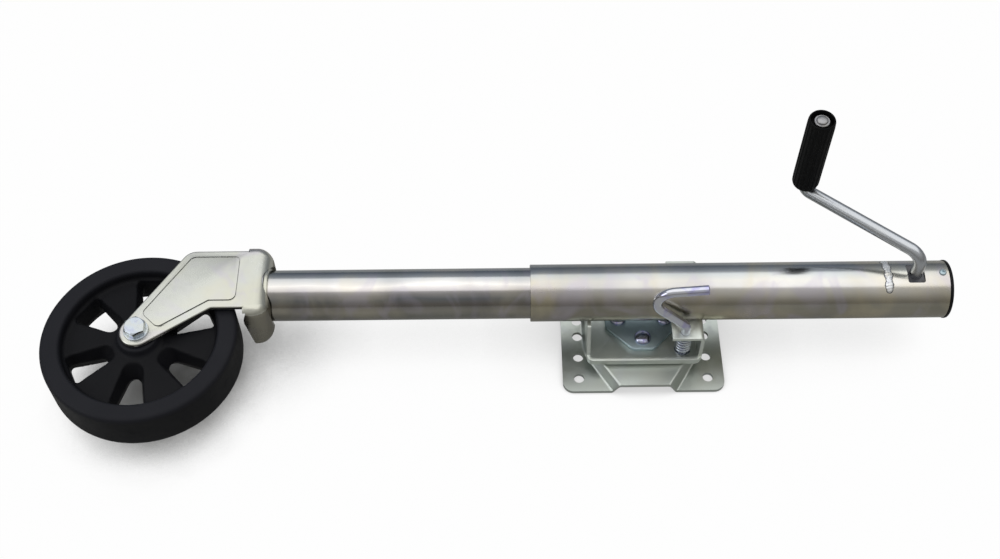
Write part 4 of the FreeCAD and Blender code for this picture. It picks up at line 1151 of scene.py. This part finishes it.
@dataclass
class Bracket:
    """Stamped mounting plate, drawn up into the platform that the saddle turns on."""

    half_x: float = 82.0
    half_y: float = 75.0
    corner: float = 11.0
    sheet: float = 4.0
    rise: float = 11.0
    top_half_x: float = 52.0
    end_half_x: float = 22.5
    break_y: float = 27.0
    slope_run: float = 8.0
    hole_r: float = 5.25
    columns: float = 65.5
    first_row: float = 9.5
    pitch: float = 25.2
    lock_place: float = LOCK_PLACE
    lock_hole_r: float = 5.35
    pivot_hole_r: float = 33.0
    bend: float = 0.3
    ridge: float = 3.0
    spare: float = 3.0

    def height(self, x: float, y: float) -> float:
        """Height that the sheet is drawn up to at a place, from 0 to 1.

        Args:
            x: Place along the tube in millimetres.
            y: Place across it.

        Returns:
            Share of the platform's rise.
        """
        fall = (self.top_half_x - self.end_half_x) / (self.half_y - self.break_y)
        straight = abs(x) - self.top_half_x
        diagonal = (abs(x) - self.top_half_x + fall * (abs(y) - self.break_y)) / math.hypot(1, fall)
        outside = (straight + diagonal + math.hypot(straight - diagonal, self.ridge) - self.ridge) / 2
        share = min(max(outside / self.slope_run, 0.0), 1.0)
        if share < self.bend:
            drop = share * share / (2 * self.bend * (1 - self.bend))
        elif share > 1 - self.bend:
            drop = 1 - (1 - share) ** 2 / (2 * self.bend * (1 - self.bend))
        else:
            drop = (share - self.bend / 2) / (1 - self.bend)
        return 1 - drop

    def gathered(self, x: float) -> float:
        """Place of a line of the even grid, drawn towards the slopes, where the sheet bends.

        Args:
            x: Place in the even grid in millimetres.

        Returns:
            Its new place.
        """
        near, far, edge = 18.0, 63.0, self.half_x + self.spare
        first, last = 0.1, 0.88
        share = abs(x) / edge
        if share < first:
            place = near * share / first
        elif share < last:
            place = near + (far - near) * (share - first) / (last - first)
        else:
            place = far + (edge - far) * (share - last) / (1 - last)
        return math.copysign(place, x)

    def build(self, shop: Workshop) -> None:
        """Models and dresses the bracket.

        Args:
            shop: The workshop.
        """
        Bench.clear()
        wide, deep = (self.half_x + self.spare) * MM, (self.half_y + self.spare) * MM
        bpy.ops.mesh.primitive_grid_add(x_subdivisions=84, y_subdivisions=77, size=1,
                                        location=(wide / 2, -deep / 2, self.sheet * MM))
        plate = bpy.context.object
        plate.name = "bracket_pressing"
        plate.scale = (wide, deep, 1)
        bpy.ops.object.transform_apply(location=True, rotation=True, scale=True)
        Bench.apply(plate, "MIRROR", use_axis=(True, True, False), merge_threshold=1e-6)
        Bench.apply(plate, "SOLIDIFY", thickness=self.sheet * MM, offset=-1.0)
        for point in plate.data.vertices:
            point.co.x = self.gathered(point.co.x / MM) * MM
            point.co.z += self.rise * MM * self.height(point.co.x / MM, point.co.y / MM)
        blank = Bench.block("bracket blank", (2 * self.half_x, 2 * self.half_y, 60), (0, 0, 10), self.corner)
        Bench.work(plate, blank, Cut.KEEP_INSIDE)
        for tool in self.holes():
            Bench.work(plate, tool, Cut.TAKE_AWAY)
        shop.enter(plate, ZINC_BRACKET, "bracket", "base_bracket", smooth=60)

    def holes(self) -> list[bpy.types.Object]:
        """Makes the tools of the bolt holes, the lock holes and the pivot hole.

        Returns:
            The tools.
        """
        places = [(sx * self.columns, sy * (self.first_row + row * self.pitch), self.hole_r)
                  for sx in (-1, 1) for sy in (-1, 1) for row in range(3)]
        places += [(sx * self.lock_place, sy * self.lock_place, self.lock_hole_r)
                   for sx in (-1, 1) for sy in (-1, 1)]
        places.append((0.0, 0.0, self.pivot_hole_r))
        tools = []
        for x, y, radius in places:
            tool = Bench.turned("hole tool", [(radius, -10), (radius, 40)], 40 if radius < 10 else 96)
            Bench.place(tool, upright(x, y, 0))
            tools.append(tool)
        for tool in tools:
            tool.select_set(True)
        bpy.context.view_layer.objects.active = tools[0]
        bpy.ops.object.join()
        return [tools[0]]


@dataclass
class Saddle:
    """Pan with its folded plates, the rivet plate and the four rivets."""

    web_z: float = 18.8
    plate_t: float = 4.0
    reach: float = 37.0
    plate_r: float = 47.5
    plate_corner: float = 2.9
    plate_edge: float = 0.9
    rivet_circle: float = 24.0
    shank_r: float = 5.0
    shank_z: float = 7.2
    head_r: float = 8.5
    head_h: float = 5.0

    def build(self, shop: Workshop) -> None:
        """Models and dresses the saddle's pieces.

        Args:
            shop: The workshop.
        """
        pan = Bench.traced("saddle_pressing", shop.nodes["swivel_saddle"], 1.6, 50)
        shop.enter(pan, ZINC_SADDLE, "jack", "swivel_saddle", smooth=38)
        self.build_plate(shop)
        self.build_rivets(shop)
        shop.dress(PLAIN_STEEL, "pivot_spacer", "retaining_disc")

    def build_plate(self, shop: Workshop) -> None:
        """Cuts the four corners off a square set on its corner and softens it.

        Args:
            shop: The workshop.
        """
        Bench.clear()
        bpy.ops.mesh.primitive_cylinder_add(vertices=4, radius=self.plate_r * MM, depth=self.plate_t * MM,
                                            location=(0, 0, (self.web_z + self.plate_t / 2) * MM))
        plate = bpy.context.object
        plate.name = "rivet_plate_blank"
        bpy.ops.object.transform_apply(location=True, rotation=True, scale=True)
        bpy.ops.object.mode_set(mode="EDIT")
        for x, y in ((1, 0), (-1, 0), (0, 1), (0, -1)):
            bpy.ops.mesh.select_all(action="SELECT")
            bpy.ops.mesh.bisect(plane_co=Vector((x, y, 0)) * self.reach * MM, plane_no=(x, y, 0),
                                use_fill=True, clear_outer=True)
        bpy.ops.object.mode_set(mode="OBJECT")
        Bench.round_edges(plate, Bench.is_upright, self.plate_corner, 6)
        Bench.soften(plate, self.plate_edge, 50)
        shop.enter(plate, BLUE_ZINC, "jack", "rivet_plate")

    def build_rivets(self, shop: Workshop) -> None:
        """Turns one rivet and sets its three copies.

        Args:
            shop: The workshop.
        """
        top = self.web_z + self.plate_t
        shank = [(0.0, self.shank_z - top), (self.shank_r, self.shank_z - top), (self.shank_r, -0.01)]
        profile = shank + dome(self.head_r, self.head_h)
        first = Bench.turned("pivot_rivet_1", profile, 56)
        Bench.place(first, upright(self.rivet_circle, 0, top))
        for index in range(1, 4):
            turn = Matrix.Rotation(index * math.pi / 2, 4, "Z")
            copy = Bench.twin(first, f"pivot_rivet_{index + 1}", turn)
            shop.enter(copy, RIVET_STEEL, "jack", "pivot_rivets")
        shop.enter(first, RIVET_STEEL, "jack", "pivot_rivets")


@dataclass
class LockPin:
    """Pin with its hooked handle, its clip and its spring."""

    place: float = LOCK_PLACE
    radius: float = 4.75
    tip_z: float = 15.3
    top_plate_z: float = 57.0
    clip_z: float = 25.1
    clip_r: float = 8.25
    wire: float = 1.0
    turns: float = 5.5

    def build(self, shop: Workshop) -> None:
        """Models and dresses the pin's pieces.

        Args:
            shop: The workshop.
        """
        x, y, top = self.place, -self.place, self.top_plate_z
        corners = [Vector((x, y, self.tip_z)), Vector((x, y, top + 10.5)), Vector((-13.7, y, top + 65.9)),
                   Vector((54.2, y, top + 73.1))]
        pin = Bench.bar("lock_pin_hook", self.radius, corners, [10.0, 18.0])
        shop.enter(pin, BRIGHT_ROD, "lock_pin", "lock_pin")
        shop.dress(BOLT_STEEL, "lock_pin_clip")
        self.build_spring(shop)

    def build_spring(self, shop: Workshop) -> None:
        """Winds the spring from one ring of wire.

        Args:
            shop: The workshop.
        """
        low, high = self.clip_z + 1.65, self.top_plate_z - 3.65
        coil = self.clip_r - self.wire
        spring = Bench.start_ring("lock_spring_coil", self.wire, 0, 14)
        bpy.ops.transform.rotate(value=math.pi / 2, orient_axis="X", center_override=(0, 0, 0))
        bpy.ops.transform.translate(value=(coil * MM, 0, (low + self.wire) * MM))
        bpy.ops.object.mode_set(mode="OBJECT")
        Bench.apply(spring, "SCREW", angle=2 * math.pi * self.turns, steps=int(28 * self.turns),
                    render_steps=int(28 * self.turns), screw_offset=(high - low - 2 * self.wire) * MM,
                    use_merge_vertices=False)
        Bench.take(spring)
        bpy.ops.object.mode_set(mode="EDIT")
        Bench.cap()
        Bench.place(spring, upright(self.place, -self.place, 0))
        shop.enter(spring, BOLT_STEEL, "jack", "lock_spring")


@dataclass
class Crank:
    """Cranked bar, its grip and its inner gear."""

    x: float = 265.0
    radius: float = 6.35
    journal_rise: float = 18.0
    elbow_rise: float = 57.0
    grip_elbow_rise: float = 53.0
    throw: float = 135.8
    angle: float = 139.6
    grip_rise: float = 62.0
    grip_length: float = 95.0
    grip_r: float = 13.5
    end_drop: float = 3.0
    ribs: int = 18
    groove_clear: float = 4.0
    groove_share: float = 0.34
    groove_depth: float = 0.9

    def hand(self) -> Vector:
        """Place of the grip's axis seen from above.

        Returns:
            The place in millimetres.
        """
        angle = math.radians(self.angle)
        return Vector((self.x + self.throw * math.cos(angle), self.throw * math.sin(angle), 0))

    def build(self, shop: Workshop) -> None:
        """Models and dresses the crank's pieces.

        Args:
            shop: The workshop.
        """
        hand = self.hand()
        foot_z = AXIS_Z - self.journal_rise
        end_z = AXIS_Z + self.grip_rise + self.grip_length - self.end_drop
        corners = [Vector((self.x, 0, foot_z)), Vector((self.x, 0, AXIS_Z + self.elbow_rise)),
                   Vector((hand.x, hand.y, AXIS_Z + self.grip_elbow_rise)), Vector((hand.x, hand.y, end_z))]
        bar = Bench.bar("crank_bar", self.radius, corners, [14.0, 8.5])
        foot = Bench.turned("crank foot", [(5.0, -self.radius - 3.2), (5.0, 1.0)], 36)
        Bench.place(foot, upright(self.x, 0, foot_z))
        Bench.work(bar, foot, Cut.ADD)
        shop.enter(bar, SATIN_ROD, "crank", "crank_handle")
        washer = [(0.0, -0.1), (7.5, -0.1), (7.5, 0.7), (7.1, 1.1), (5.9, 1.1)]
        crown = [(radius, height + 1.1) for radius, height in dome(5.6, 2.7)]
        head = Bench.turned("grip_rivet_head", washer + crown, 48)
        Bench.place(head, upright(hand.x, hand.y, end_z))
        shop.enter(head, PLAIN_STEEL, "crank", "grip_rivet")
        self.build_grip(shop)
        shop.dress(GEAR_STEEL, "crank_pinion", "pinion_pin")

    def build_grip(self, shop: Workshop) -> None:
        """Turns the sleeve and presses the grooves between its ribs.

        Args:
            shop: The workshop.
        """
        top, r, bore = self.grip_length, self.grip_r, self.radius + 0.1
        recess, depth = 11.2, 8.0
        profile = [(bore, 1.0), (bore + 1.0, 0.0), (r - 4.0, 0.0), (r - 2.2, 0.5), (r - 0.9, 1.8),
                   (r - 0.2, 4.0), (r, 8.0)]
        profile += [(r, 8.0 + step * (top - 16.0) / 8) for step in range(1, 9)]
        profile += [(r - 0.2, top - 3.0), (r - 0.6, top - 1.2), (r - 1.1, top - 0.3), (r - 1.5, top),
                    (recess + 0.3, top - 0.1), (recess, top - 0.6), (recess, top - depth),
                    (bore, top - depth)]
        grip = Bench.turned("crank_grip_sleeve", profile, self.ribs * 6, bored=True)
        step, clear = 2 * math.pi / self.ribs, self.groove_clear * MM

        def in_groove(face: bmesh.types.BMFace) -> bool:
            """Whether a face lies between two ribs, clear of the ends.

            Args:
                face: The face.

            Returns:
                True for a face that is pressed in.
            """
            middle = face.calc_center_median()
            turn = (math.atan2(middle.y, middle.x) % step) / step
            outward = face.normal.x * middle.x + face.normal.y * middle.y > clear
            return turn < self.groove_share and outward and clear < middle.z < top * MM - clear

        Bench.select(grip, Kind.FACES, in_groove)
        bpy.ops.transform.shrink_fatten(value=-self.groove_depth * MM)
        bpy.ops.object.mode_set(mode="OBJECT")
        hand = self.hand()
        Bench.place(grip, upright(hand.x, hand.y, AXIS_Z + self.grip_rise))
        shop.enter(grip, GRIP_PLASTIC, "grip", "grip", smooth=50)


@dataclass
class Caster:
    """Yoke with its axle, and the moulded wheel."""

    axle: tuple[float, float] = (-494.5, -60.0)
    tread_r: float = 95.0
    half: float = 23.0
    rim_face: float = 18.0
    recess: float = 8.0
    bore: float = 11.45
    hub_r: float = 20.0
    hub_half: float = 25.1
    window_turn: float = -93.0
    leg_top: float = 31.0
    rim_round: float = 1.8
    panel_line: float = 0.7
    border_area: float = 60.0
    wall_normal: float = 0.35
    face_normal: float = 0.97
    voxel: float = 1.35
    skirt_x: float = -430.0

    def build(self, shop: Workshop) -> None:
        """Models and dresses the caster.

        Args:
            shop: The workshop.
        """
        yoke = Bench.traced("yoke_pressing", shop.nodes["caster_yoke"], 0)
        self.round_rim(yoke)
        Bench.soften(yoke, 0.3, 50)
        self.inset_panel(yoke)
        shop.enter(yoke, ZINC_YOKE, "yoke", "caster_yoke", smooth=36)
        self.paint_step_and_skirt_shade(yoke)
        for name, width in (("axle_bolt", 0.35), ("axle_nut", 0.35), ("axle_washers", 0.3)):
            piece = Bench.traced(name + "_finished", shop.nodes[name], width, 25)
            shop.enter(piece, BOLT_STEEL, "yoke", name, smooth=30)
        shop.dress(PLAIN_STEEL, "axle_sleeve")
        shop.dress(PLAIN_STEEL, "swivel_washer")
        shop.dress(BUSH_PLASTIC, "hub_bushes")
        self.build_wheel(shop)

    def round_rim(self, yoke: bpy.types.Object) -> None:
        """Rounds the leg's outer rim, as the press leaves it.

        Args:
            yoke: The yoke in hand.
        """
        top = (AXIS_Z + self.leg_top) * MM

        def on_rim(edge: bmesh.types.BMEdge) -> bool:
            """Whether an edge is a sharp one at the leg's outer face.

            Args:
                edge: The edge.

            Returns:
                True for an edge that is rounded.
            """
            level = all(abs(point.co.z - top) < 0.02 * MM for point in edge.verts)
            sharp = edge.is_manifold and edge.is_convex and edge.calc_face_angle() > math.radians(60)
            return level and sharp

        Bench.round_edges(yoke, on_rim, self.rim_round, 4)

    def inset_panel(self, yoke: bpy.types.Object) -> None:
        """Sets a narrow border inside the pressed panel's edge.

        Args:
            yoke: The yoke in hand.
        """
        high = max(point.co.z for point in yoke.data.vertices) - 0.05 * MM
        Bench.select(yoke, Kind.FACES, lambda face: face.calc_center_median().z > high)
        bpy.ops.mesh.inset(thickness=self.panel_line * MM, depth=0)
        bpy.ops.object.mode_set(mode="OBJECT")

    def paint_step_and_skirt_shade(self, yoke: bpy.types.Object) -> None:
        """Paints the step round the pressed panel, and its border, a darker grey as painted shade, and the
        upright skirt walls the darker skirt finish as painted shade.

        Args:
            yoke: The finished yoke.
        """
        yoke.data.materials.append(YOKE_STEP.material())
        yoke.data.materials.append(ZINC_SKIRT.material())
        low = (AXIS_Z + self.leg_top + 0.05) * MM
        border = self.border_area * MM * MM
        for face in yoke.data.polygons:
            # Painted shade: the upright skirt walls take the darker skirt finish.
            upright_wall = abs(face.normal.z) < self.wall_normal and face.center.z < low - 3.0 * MM
            if upright_wall and face.center.x > self.skirt_x * MM:
                face.material_index = 2
            # Painted shade in the step round the panel and on its border.
            elif face.center.z > low and (abs(face.normal.z) < self.face_normal or face.area < border):
                face.material_index = 1

    def rim_profile(self) -> list[tuple[float, float]]:
        """Upper half of the wheel's section, from the bore outward to the tread.

        Returns:
            Radius and height of each ring in millimetres.
        """
        rim_r = self.tread_r - self.rim_face
        step_r = rim_r - self.recess * 0.35
        points = [(self.bore, self.hub_half - 0.6), (self.bore + 0.6, self.hub_half),
                  (self.hub_r - 1.5, self.hub_half), (self.hub_r - 0.4, self.hub_half - 0.5),
                  (self.hub_r, self.hub_half - 1.6), (self.hub_r + 1.0, 18.5), (self.hub_r + 3.5, 16.4)]
        web_r = self.hub_r + 3.5
        web_width = step_r - 6 - web_r
        points += [(web_r + web_width * share, 16.2 - 4.2 * share) for share in (0.33, 0.66, 1.0)]
        points += [(step_r - 2.5, 12.0), (step_r - 0.6, 13.0), (step_r + 0.6, 15.0),
                   (rim_r - 1.4, self.half - 2.4), (rim_r - 0.6, self.half - 0.8), (rim_r + 0.8, self.half),
                   (self.tread_r - 5.0, self.half), (self.tread_r - 2.6, self.half - 0.5),
                   (self.tread_r - 1.0, self.half - 1.9), (self.tread_r - 0.2, self.half - 4.0),
                   (self.tread_r, self.half - 6.5)]
        return points

    def build_wheel(self, shop: Workshop) -> None:
        """Turns the wheel, cuts its six flared windows and melts their edges round.

        Args:
            shop: The workshop.
        """
        upper = self.rim_profile()
        lower = [(radius, -height) for radius, height in reversed(upper)]
        wheel = Bench.turned("caster_wheel_moulding", upper + lower, 192, bored=True)
        for index in range(6):
            Bench.work(wheel, self.window_tool(self.window_turn + 60 * index), Cut.TAKE_AWAY)
        Bench.apply(wheel, "REMESH", mode="VOXEL", voxel_size=self.voxel * MM)
        Bench.apply(wheel, "SMOOTH", factor=0.5, iterations=5)
        Bench.place(wheel, upright(*self.axle, AXIS_Z))
        shop.enter(wheel, WHEEL_PLASTIC, "wheel", "wheel", smooth=50)

    def window_tool(self, turn: float) -> bpy.types.Object:
        """Tool of one window, narrow in the web and flared towards both faces.

        Args:
            turn: Place round the wheel in degrees.

        Returns:
            The tool.
        """
        inner, outer, narrow, wide, reach, corner_r = 36.0, 71.0, 5.5, 14.5, 20.0, 5.0
        inner_flare, inner_spread, outer_spread = 12.0, 4.2, 5.4
        Bench.clear()
        bpy.ops.mesh.primitive_cube_add(size=1, location=(0, 0, 0))
        tool = bpy.context.object
        tool.name = "window tool"
        bpy.ops.object.mode_set(mode="EDIT")
        bpy.ops.mesh.select_all(action="SELECT")
        bpy.ops.mesh.bisect(plane_co=(0, 0, 0), plane_no=(0, 0, 1))
        bpy.ops.object.mode_set(mode="OBJECT")
        for corner in tool.data.vertices:
            level = round(2 * corner.co.z)
            flare = abs(level)
            if corner.co.x > 0:
                x, y = outer, wide + outer_spread * flare
            else:
                x, y = inner - inner_flare * flare, narrow + inner_spread * flare
            corner.co = Vector((x, math.copysign(y, corner.co.y), reach * level)) * MM
        tall = reach / 2 * MM
        Bench.round_edges(tool, lambda edge: abs(edge.verts[0].co.z - edge.verts[1].co.z) > tall, corner_r, 5)
        Bench.place(tool, Matrix.Rotation(math.radians(turn), 4, "Z"))
        return tool


@dataclass
class Drive:
    """Lead screw and its gear, out of sight inside the tube."""

    def build(self, shop: Workshop) -> None:
        """Dresses the drive's pieces.

        Args:
            shop: The workshop.
        """
        shop.dress(GEAR_STEEL, "screw_gear", "gear_pin")
        shop.dress(PLAIN_STEEL, "lead_screw", "thrust_washer")


@dataclass
class Welds:
    """Weld beads over the bearing plate's two slots, with a thin dark ring beside each as painted shadow at
    its edge.
    """

    tube_r: float = TUBE_R
    slot_x: float = 237.5
    slot_half_angle: float = 41.0
    bead: tuple[float, float] = (3.7, 1.35)
    toe_shadow: tuple[float, float] = (4.4, 0.12)
    run_out: float = 7.0

    def build(self, shop: Workshop) -> None:
        """Models the beads.

        Args:
            shop: The workshop.
        """
        for name, middle in (("upper_slot", 0), ("lower_slot", 180)):
            self.round_bead(shop, name + "_weld", WELD_ZINC, middle, self.slot_half_angle, self.bead)
            # Painted shadow: a thin dark ring laid a little wider round each bead.
            self.round_bead(shop, name + "_toe", DARK_STEEL, middle, self.slot_half_angle + 1.5, self.toe_shadow)

    def round_bead(self, shop: Workshop, name: str, finish: Finish, zenith: float, half_angle: float,
                   size: tuple[float, float]) -> None:
        """Lays a bead round the tube over the bearing plate's slot.

        Args:
            shop: The workshop.
            name: Name of the bead.
            finish: Its finish.
            zenith: Angle of its middle from the top of the tube, in degrees about +X.
            half_angle: Angle that it covers to each side.
            size: Half its width, and its height, in millimetres.
        """
        x, (width, height) = self.slot_x, size
        start, sweep = zenith - half_angle, 2 * half_angle
        middle = Vector((0, 0, AXIS_Z)) * MM
        bead = Bench.start_ring(name, 1.0, 0, 14)
        bpy.ops.object.mode_set(mode="OBJECT")
        stand = Matrix.Translation(Vector((x, 0, self.tube_r)) * MM) @ Matrix.Rotation(math.pi / 2, 4, "X")
        Bench.place(bead, Matrix.Translation(middle) @ Matrix.Rotation(math.radians(start), 4, "X")
                    @ stand @ Matrix.Diagonal((width, height, 1, 1)))
        bpy.ops.object.mode_set(mode="EDIT")
        bpy.ops.mesh.select_all(action="SELECT")
        steps = int(sweep * 1.4)
        bpy.ops.mesh.spin(steps=steps, angle=math.radians(sweep), center=middle, axis=(-1, 0, 0))
        Bench.cap()
        self.ripple(bead, zenith, half_angle, size)
        shop.enter(bead, finish, "jack", smooth=60)

    def ripple(self, bead: bpy.types.Object, zenith: float, half_angle: float,
               size: tuple[float, float]) -> None:
        """Gives a bead the overlapping scales of its weld pool, and runs its ends out.

        Args:
            bead: The bead.
            zenith: Angle of its middle, in degrees about +X.
            half_angle: Angle that it covers to each side.
            size: Half its width, and its height, in millimetres.
        """
        width, height = size
        for point in bead.data.vertices:
            across = (point.co.x / MM - self.slot_x) / width
            radial = Vector((point.co.y, point.co.z - AXIS_Z * MM)) / MM
            angle = math.degrees(math.atan2(-radial.x, radial.y))
            away = abs((angle - zenith + 180) % 360 - 180)
            near = min(max((half_angle - away) / self.run_out, 0.02), 1.0)
            end = math.sqrt(1 - (1 - near) ** 2)
            scale = 0.5 + 0.5 * math.sin(math.radians(angle * 60 + across * 70))
            swell = end * (0.9 + 0.08 * scale + 0.14 * math.sin(math.radians(angle * 17)))
            rise = (radial.length - self.tube_r) / height
            lift = self.tube_r + rise * height * end * (0.9 + 0.14 * scale)
            radial *= lift / radial.length
            point.co = Vector((self.slot_x + across * width * swell, radial.x, radial.y + AXIS_Z)) * MM


# Studio


@dataclass
class Studio:
    """Floor, lamps, surroundings and camera."""

    focal_px: float = 1346.0
    width_px: float = 1000.0
    tilt: float = 35.0
    roll: float = 0.6
    distance: float = 1.35
    film_mm: float = 36.0
    shadow_reach: float = 0.11

    def build(self) -> None:
        """Sets up the studio."""
        self.build_floor()
        self.build_surroundings()
        self.build_lamps()
        self.build_camera()
        bpy.context.scene.view_settings.view_transform = "Standard"

    def build_floor(self) -> None:
        """Plain pale floor that reads white to the camera, keeps the shadow under the object, and is let
        darker near the wheel as painted shadow.
        """
        Bench.clear()
        bpy.ops.mesh.primitive_plane_add(size=9, location=(0, 0, -0.0005))
        floor = bpy.context.object
        floor.name = "studio_floor"
        material = bpy.data.materials.new("studio floor")
        material.use_nodes = True
        sheet = Sheet(material.node_tree)
        shader = sheet.find("BSDF_PRINCIPLED")
        sheet.put(shader, {"Base Color": (0.42, 0.42, 0.41, 1), "Roughness": 0.9, "Specular IOR Level": 0.1})
        glow = sheet.add("ShaderNodeEmission")
        sheet.put(glow, {"Strength": 1.0})
        shade = sheet.add("ShaderNodeAmbientOcclusion", samples=16)
        sheet.put(shade, {"Distance": self.shadow_reach})
        axes = sheet.axes(sheet.add("ShaderNodeTexCoord").outputs["Object"])
        # Painted shadow: near the wheel, where X is below -0.27 m, the floor may lose all its white, so the
        # shadow there is deeper than elsewhere.
        painted_shadow_least = sheet.spread(axes["X"], -0.38, -0.27, 0.0, 0.6)
        openness = sheet.spread(shade.outputs["AO"], 0.4, 0.8, painted_shadow_least, 0.985)
        sheet.cover(self.white_share(sheet, openness), shader, glow, sheet.find("OUTPUT_MATERIAL"))
        floor.data.materials.append(material)

    @staticmethod
    def white_share(sheet: Sheet, openness: object) -> bpy.types.NodeSocket:
        """How much of the plain white a ray meets: all for the camera, a trace in mirrors.

        Args:
            sheet: The sheet in hand.
            openness: Share for the camera's rays.

        Returns:
            The share's socket.
        """
        rays = sheet.add("ShaderNodeLightPath")
        seen = sheet.sum("MAXIMUM", rays.outputs["Is Camera Ray"], rays.outputs["Is Transmission Ray"])
        seen = sheet.sum("MULTIPLY", seen, openness)
        mirrored = sheet.sum("MULTIPLY", rays.outputs["Is Glossy Ray"], MIRRORED_WHITE)
        return sheet.sum("MAXIMUM", seen, mirrored)

    def build_surroundings(self) -> None:
        """Grey room, paler overhead and darker behind; white where the camera looks past the floor."""
        world = bpy.data.worlds.new("studio room")
        bpy.context.scene.world = world
        world.use_nodes = True
        sheet = Sheet(world.node_tree)
        background = sheet.find("BACKGROUND")
        axes = sheet.axes(sheet.add("ShaderNodeTexCoord").outputs["Generated"])
        height = sheet.spread(axes["Z"], -0.05, 0.9)
        side = sheet.spread(axes["Y"], -0.2, 0.75)
        room = sheet.blend(height, (0.2, 0.19, 0.17), (0.56, 0.56, 0.55))
        back = sheet.blend(height, (0.1, 0.12, 0.15), (0.5, 0.52, 0.54))
        sheet.join(sheet.blend(side, room, back), background.inputs["Color"])
        sheet.put(background, {"Strength": 1.0})
        white = sheet.add("ShaderNodeBackground")
        sheet.put(white, {"Color": (1, 1, 1, 1), "Strength": 1.0})
        sheet.cover(self.white_share(sheet, 1.0), background, white, sheet.find("OUTPUT_WORLD"))

    def build_lamps(self) -> None:
        """One large soft lamp above and behind, and a weak one at the left."""
        self.lamp("large soft lamp", (0.0, 0.351, 1.703), (-0.05, 0.0, 0.05), (3.6, 2.2), 20.5,
                  (1.0, 0.99, 0.97))
        self.lamp("left soft lamp", (-1.7, -0.5, 1.0), (-0.3, 0.0, 0.05), (0.9, 0.9), 5.0,
                  (0.95, 0.97, 1.0))

    @staticmethod
    def lamp(name: str, place: Sequence[float], aim: Sequence[float], size: tuple[float, float], power: float,
             colour: Colour) -> None:
        """Adds one area lamp.

        Args:
            name: Name of the lamp.
            place: Where it hangs, in metres.
            aim: Where it points.
            size: Its two sides in metres.
            power: Its power in watts.
            colour: Its colour.
        """
        bpy.ops.object.light_add(type="AREA", location=place)
        lamp = bpy.context.object
        lamp.name = name
        lamp.data.shape = "RECTANGLE"
        lamp.data.size, lamp.data.size_y = size
        lamp.data.energy = power
        lamp.data.color = colour
        way = Vector(aim) - Vector(place)
        lamp.rotation_euler = way.to_track_quat("-Z", "Y").to_euler()

    def build_camera(self) -> None:
        """Camera at the photograph's angle and distance."""
        tilt = math.radians(self.tilt)
        ahead = Vector((0, math.sin(tilt), -math.cos(tilt)))
        up = Vector((0, math.cos(tilt), math.sin(tilt)))
        target = Vector((-0.145, 0, AXIS_Z * MM)) + up * 0.014
        bpy.ops.object.camera_add(location=target - ahead * self.distance)
        camera = bpy.context.object
        camera.name = "portrait_camera"
        right = ahead.cross(up)
        turn = Matrix((right, up, -ahead)).transposed()
        turn = turn @ Matrix.Rotation(math.radians(-self.roll), 3, "Z")
        camera.rotation_euler = turn.to_euler()
        camera.data.sensor_width = self.film_mm
        camera.data.lens = self.focal_px / self.width_px * self.film_mm
        camera.data.clip_start = 0.01
        bpy.context.scene.camera = camera


def main() -> None:
    """Loads the frame, builds each sub-assembly and sets up the studio."""
    logging.basicConfig(level=logging.INFO, format="%(name)s: %(message)s")
    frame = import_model()
    shop = Workshop(frame["nodes"])
    for assembly in (Bracket(), Saddle(), MainTube(), Welds(), LockPin(), Leg(), Drive(), Crank(), Caster()):
        assembly.build(shop)
    Studio().build()


if __name__ == "__main__":
    main()
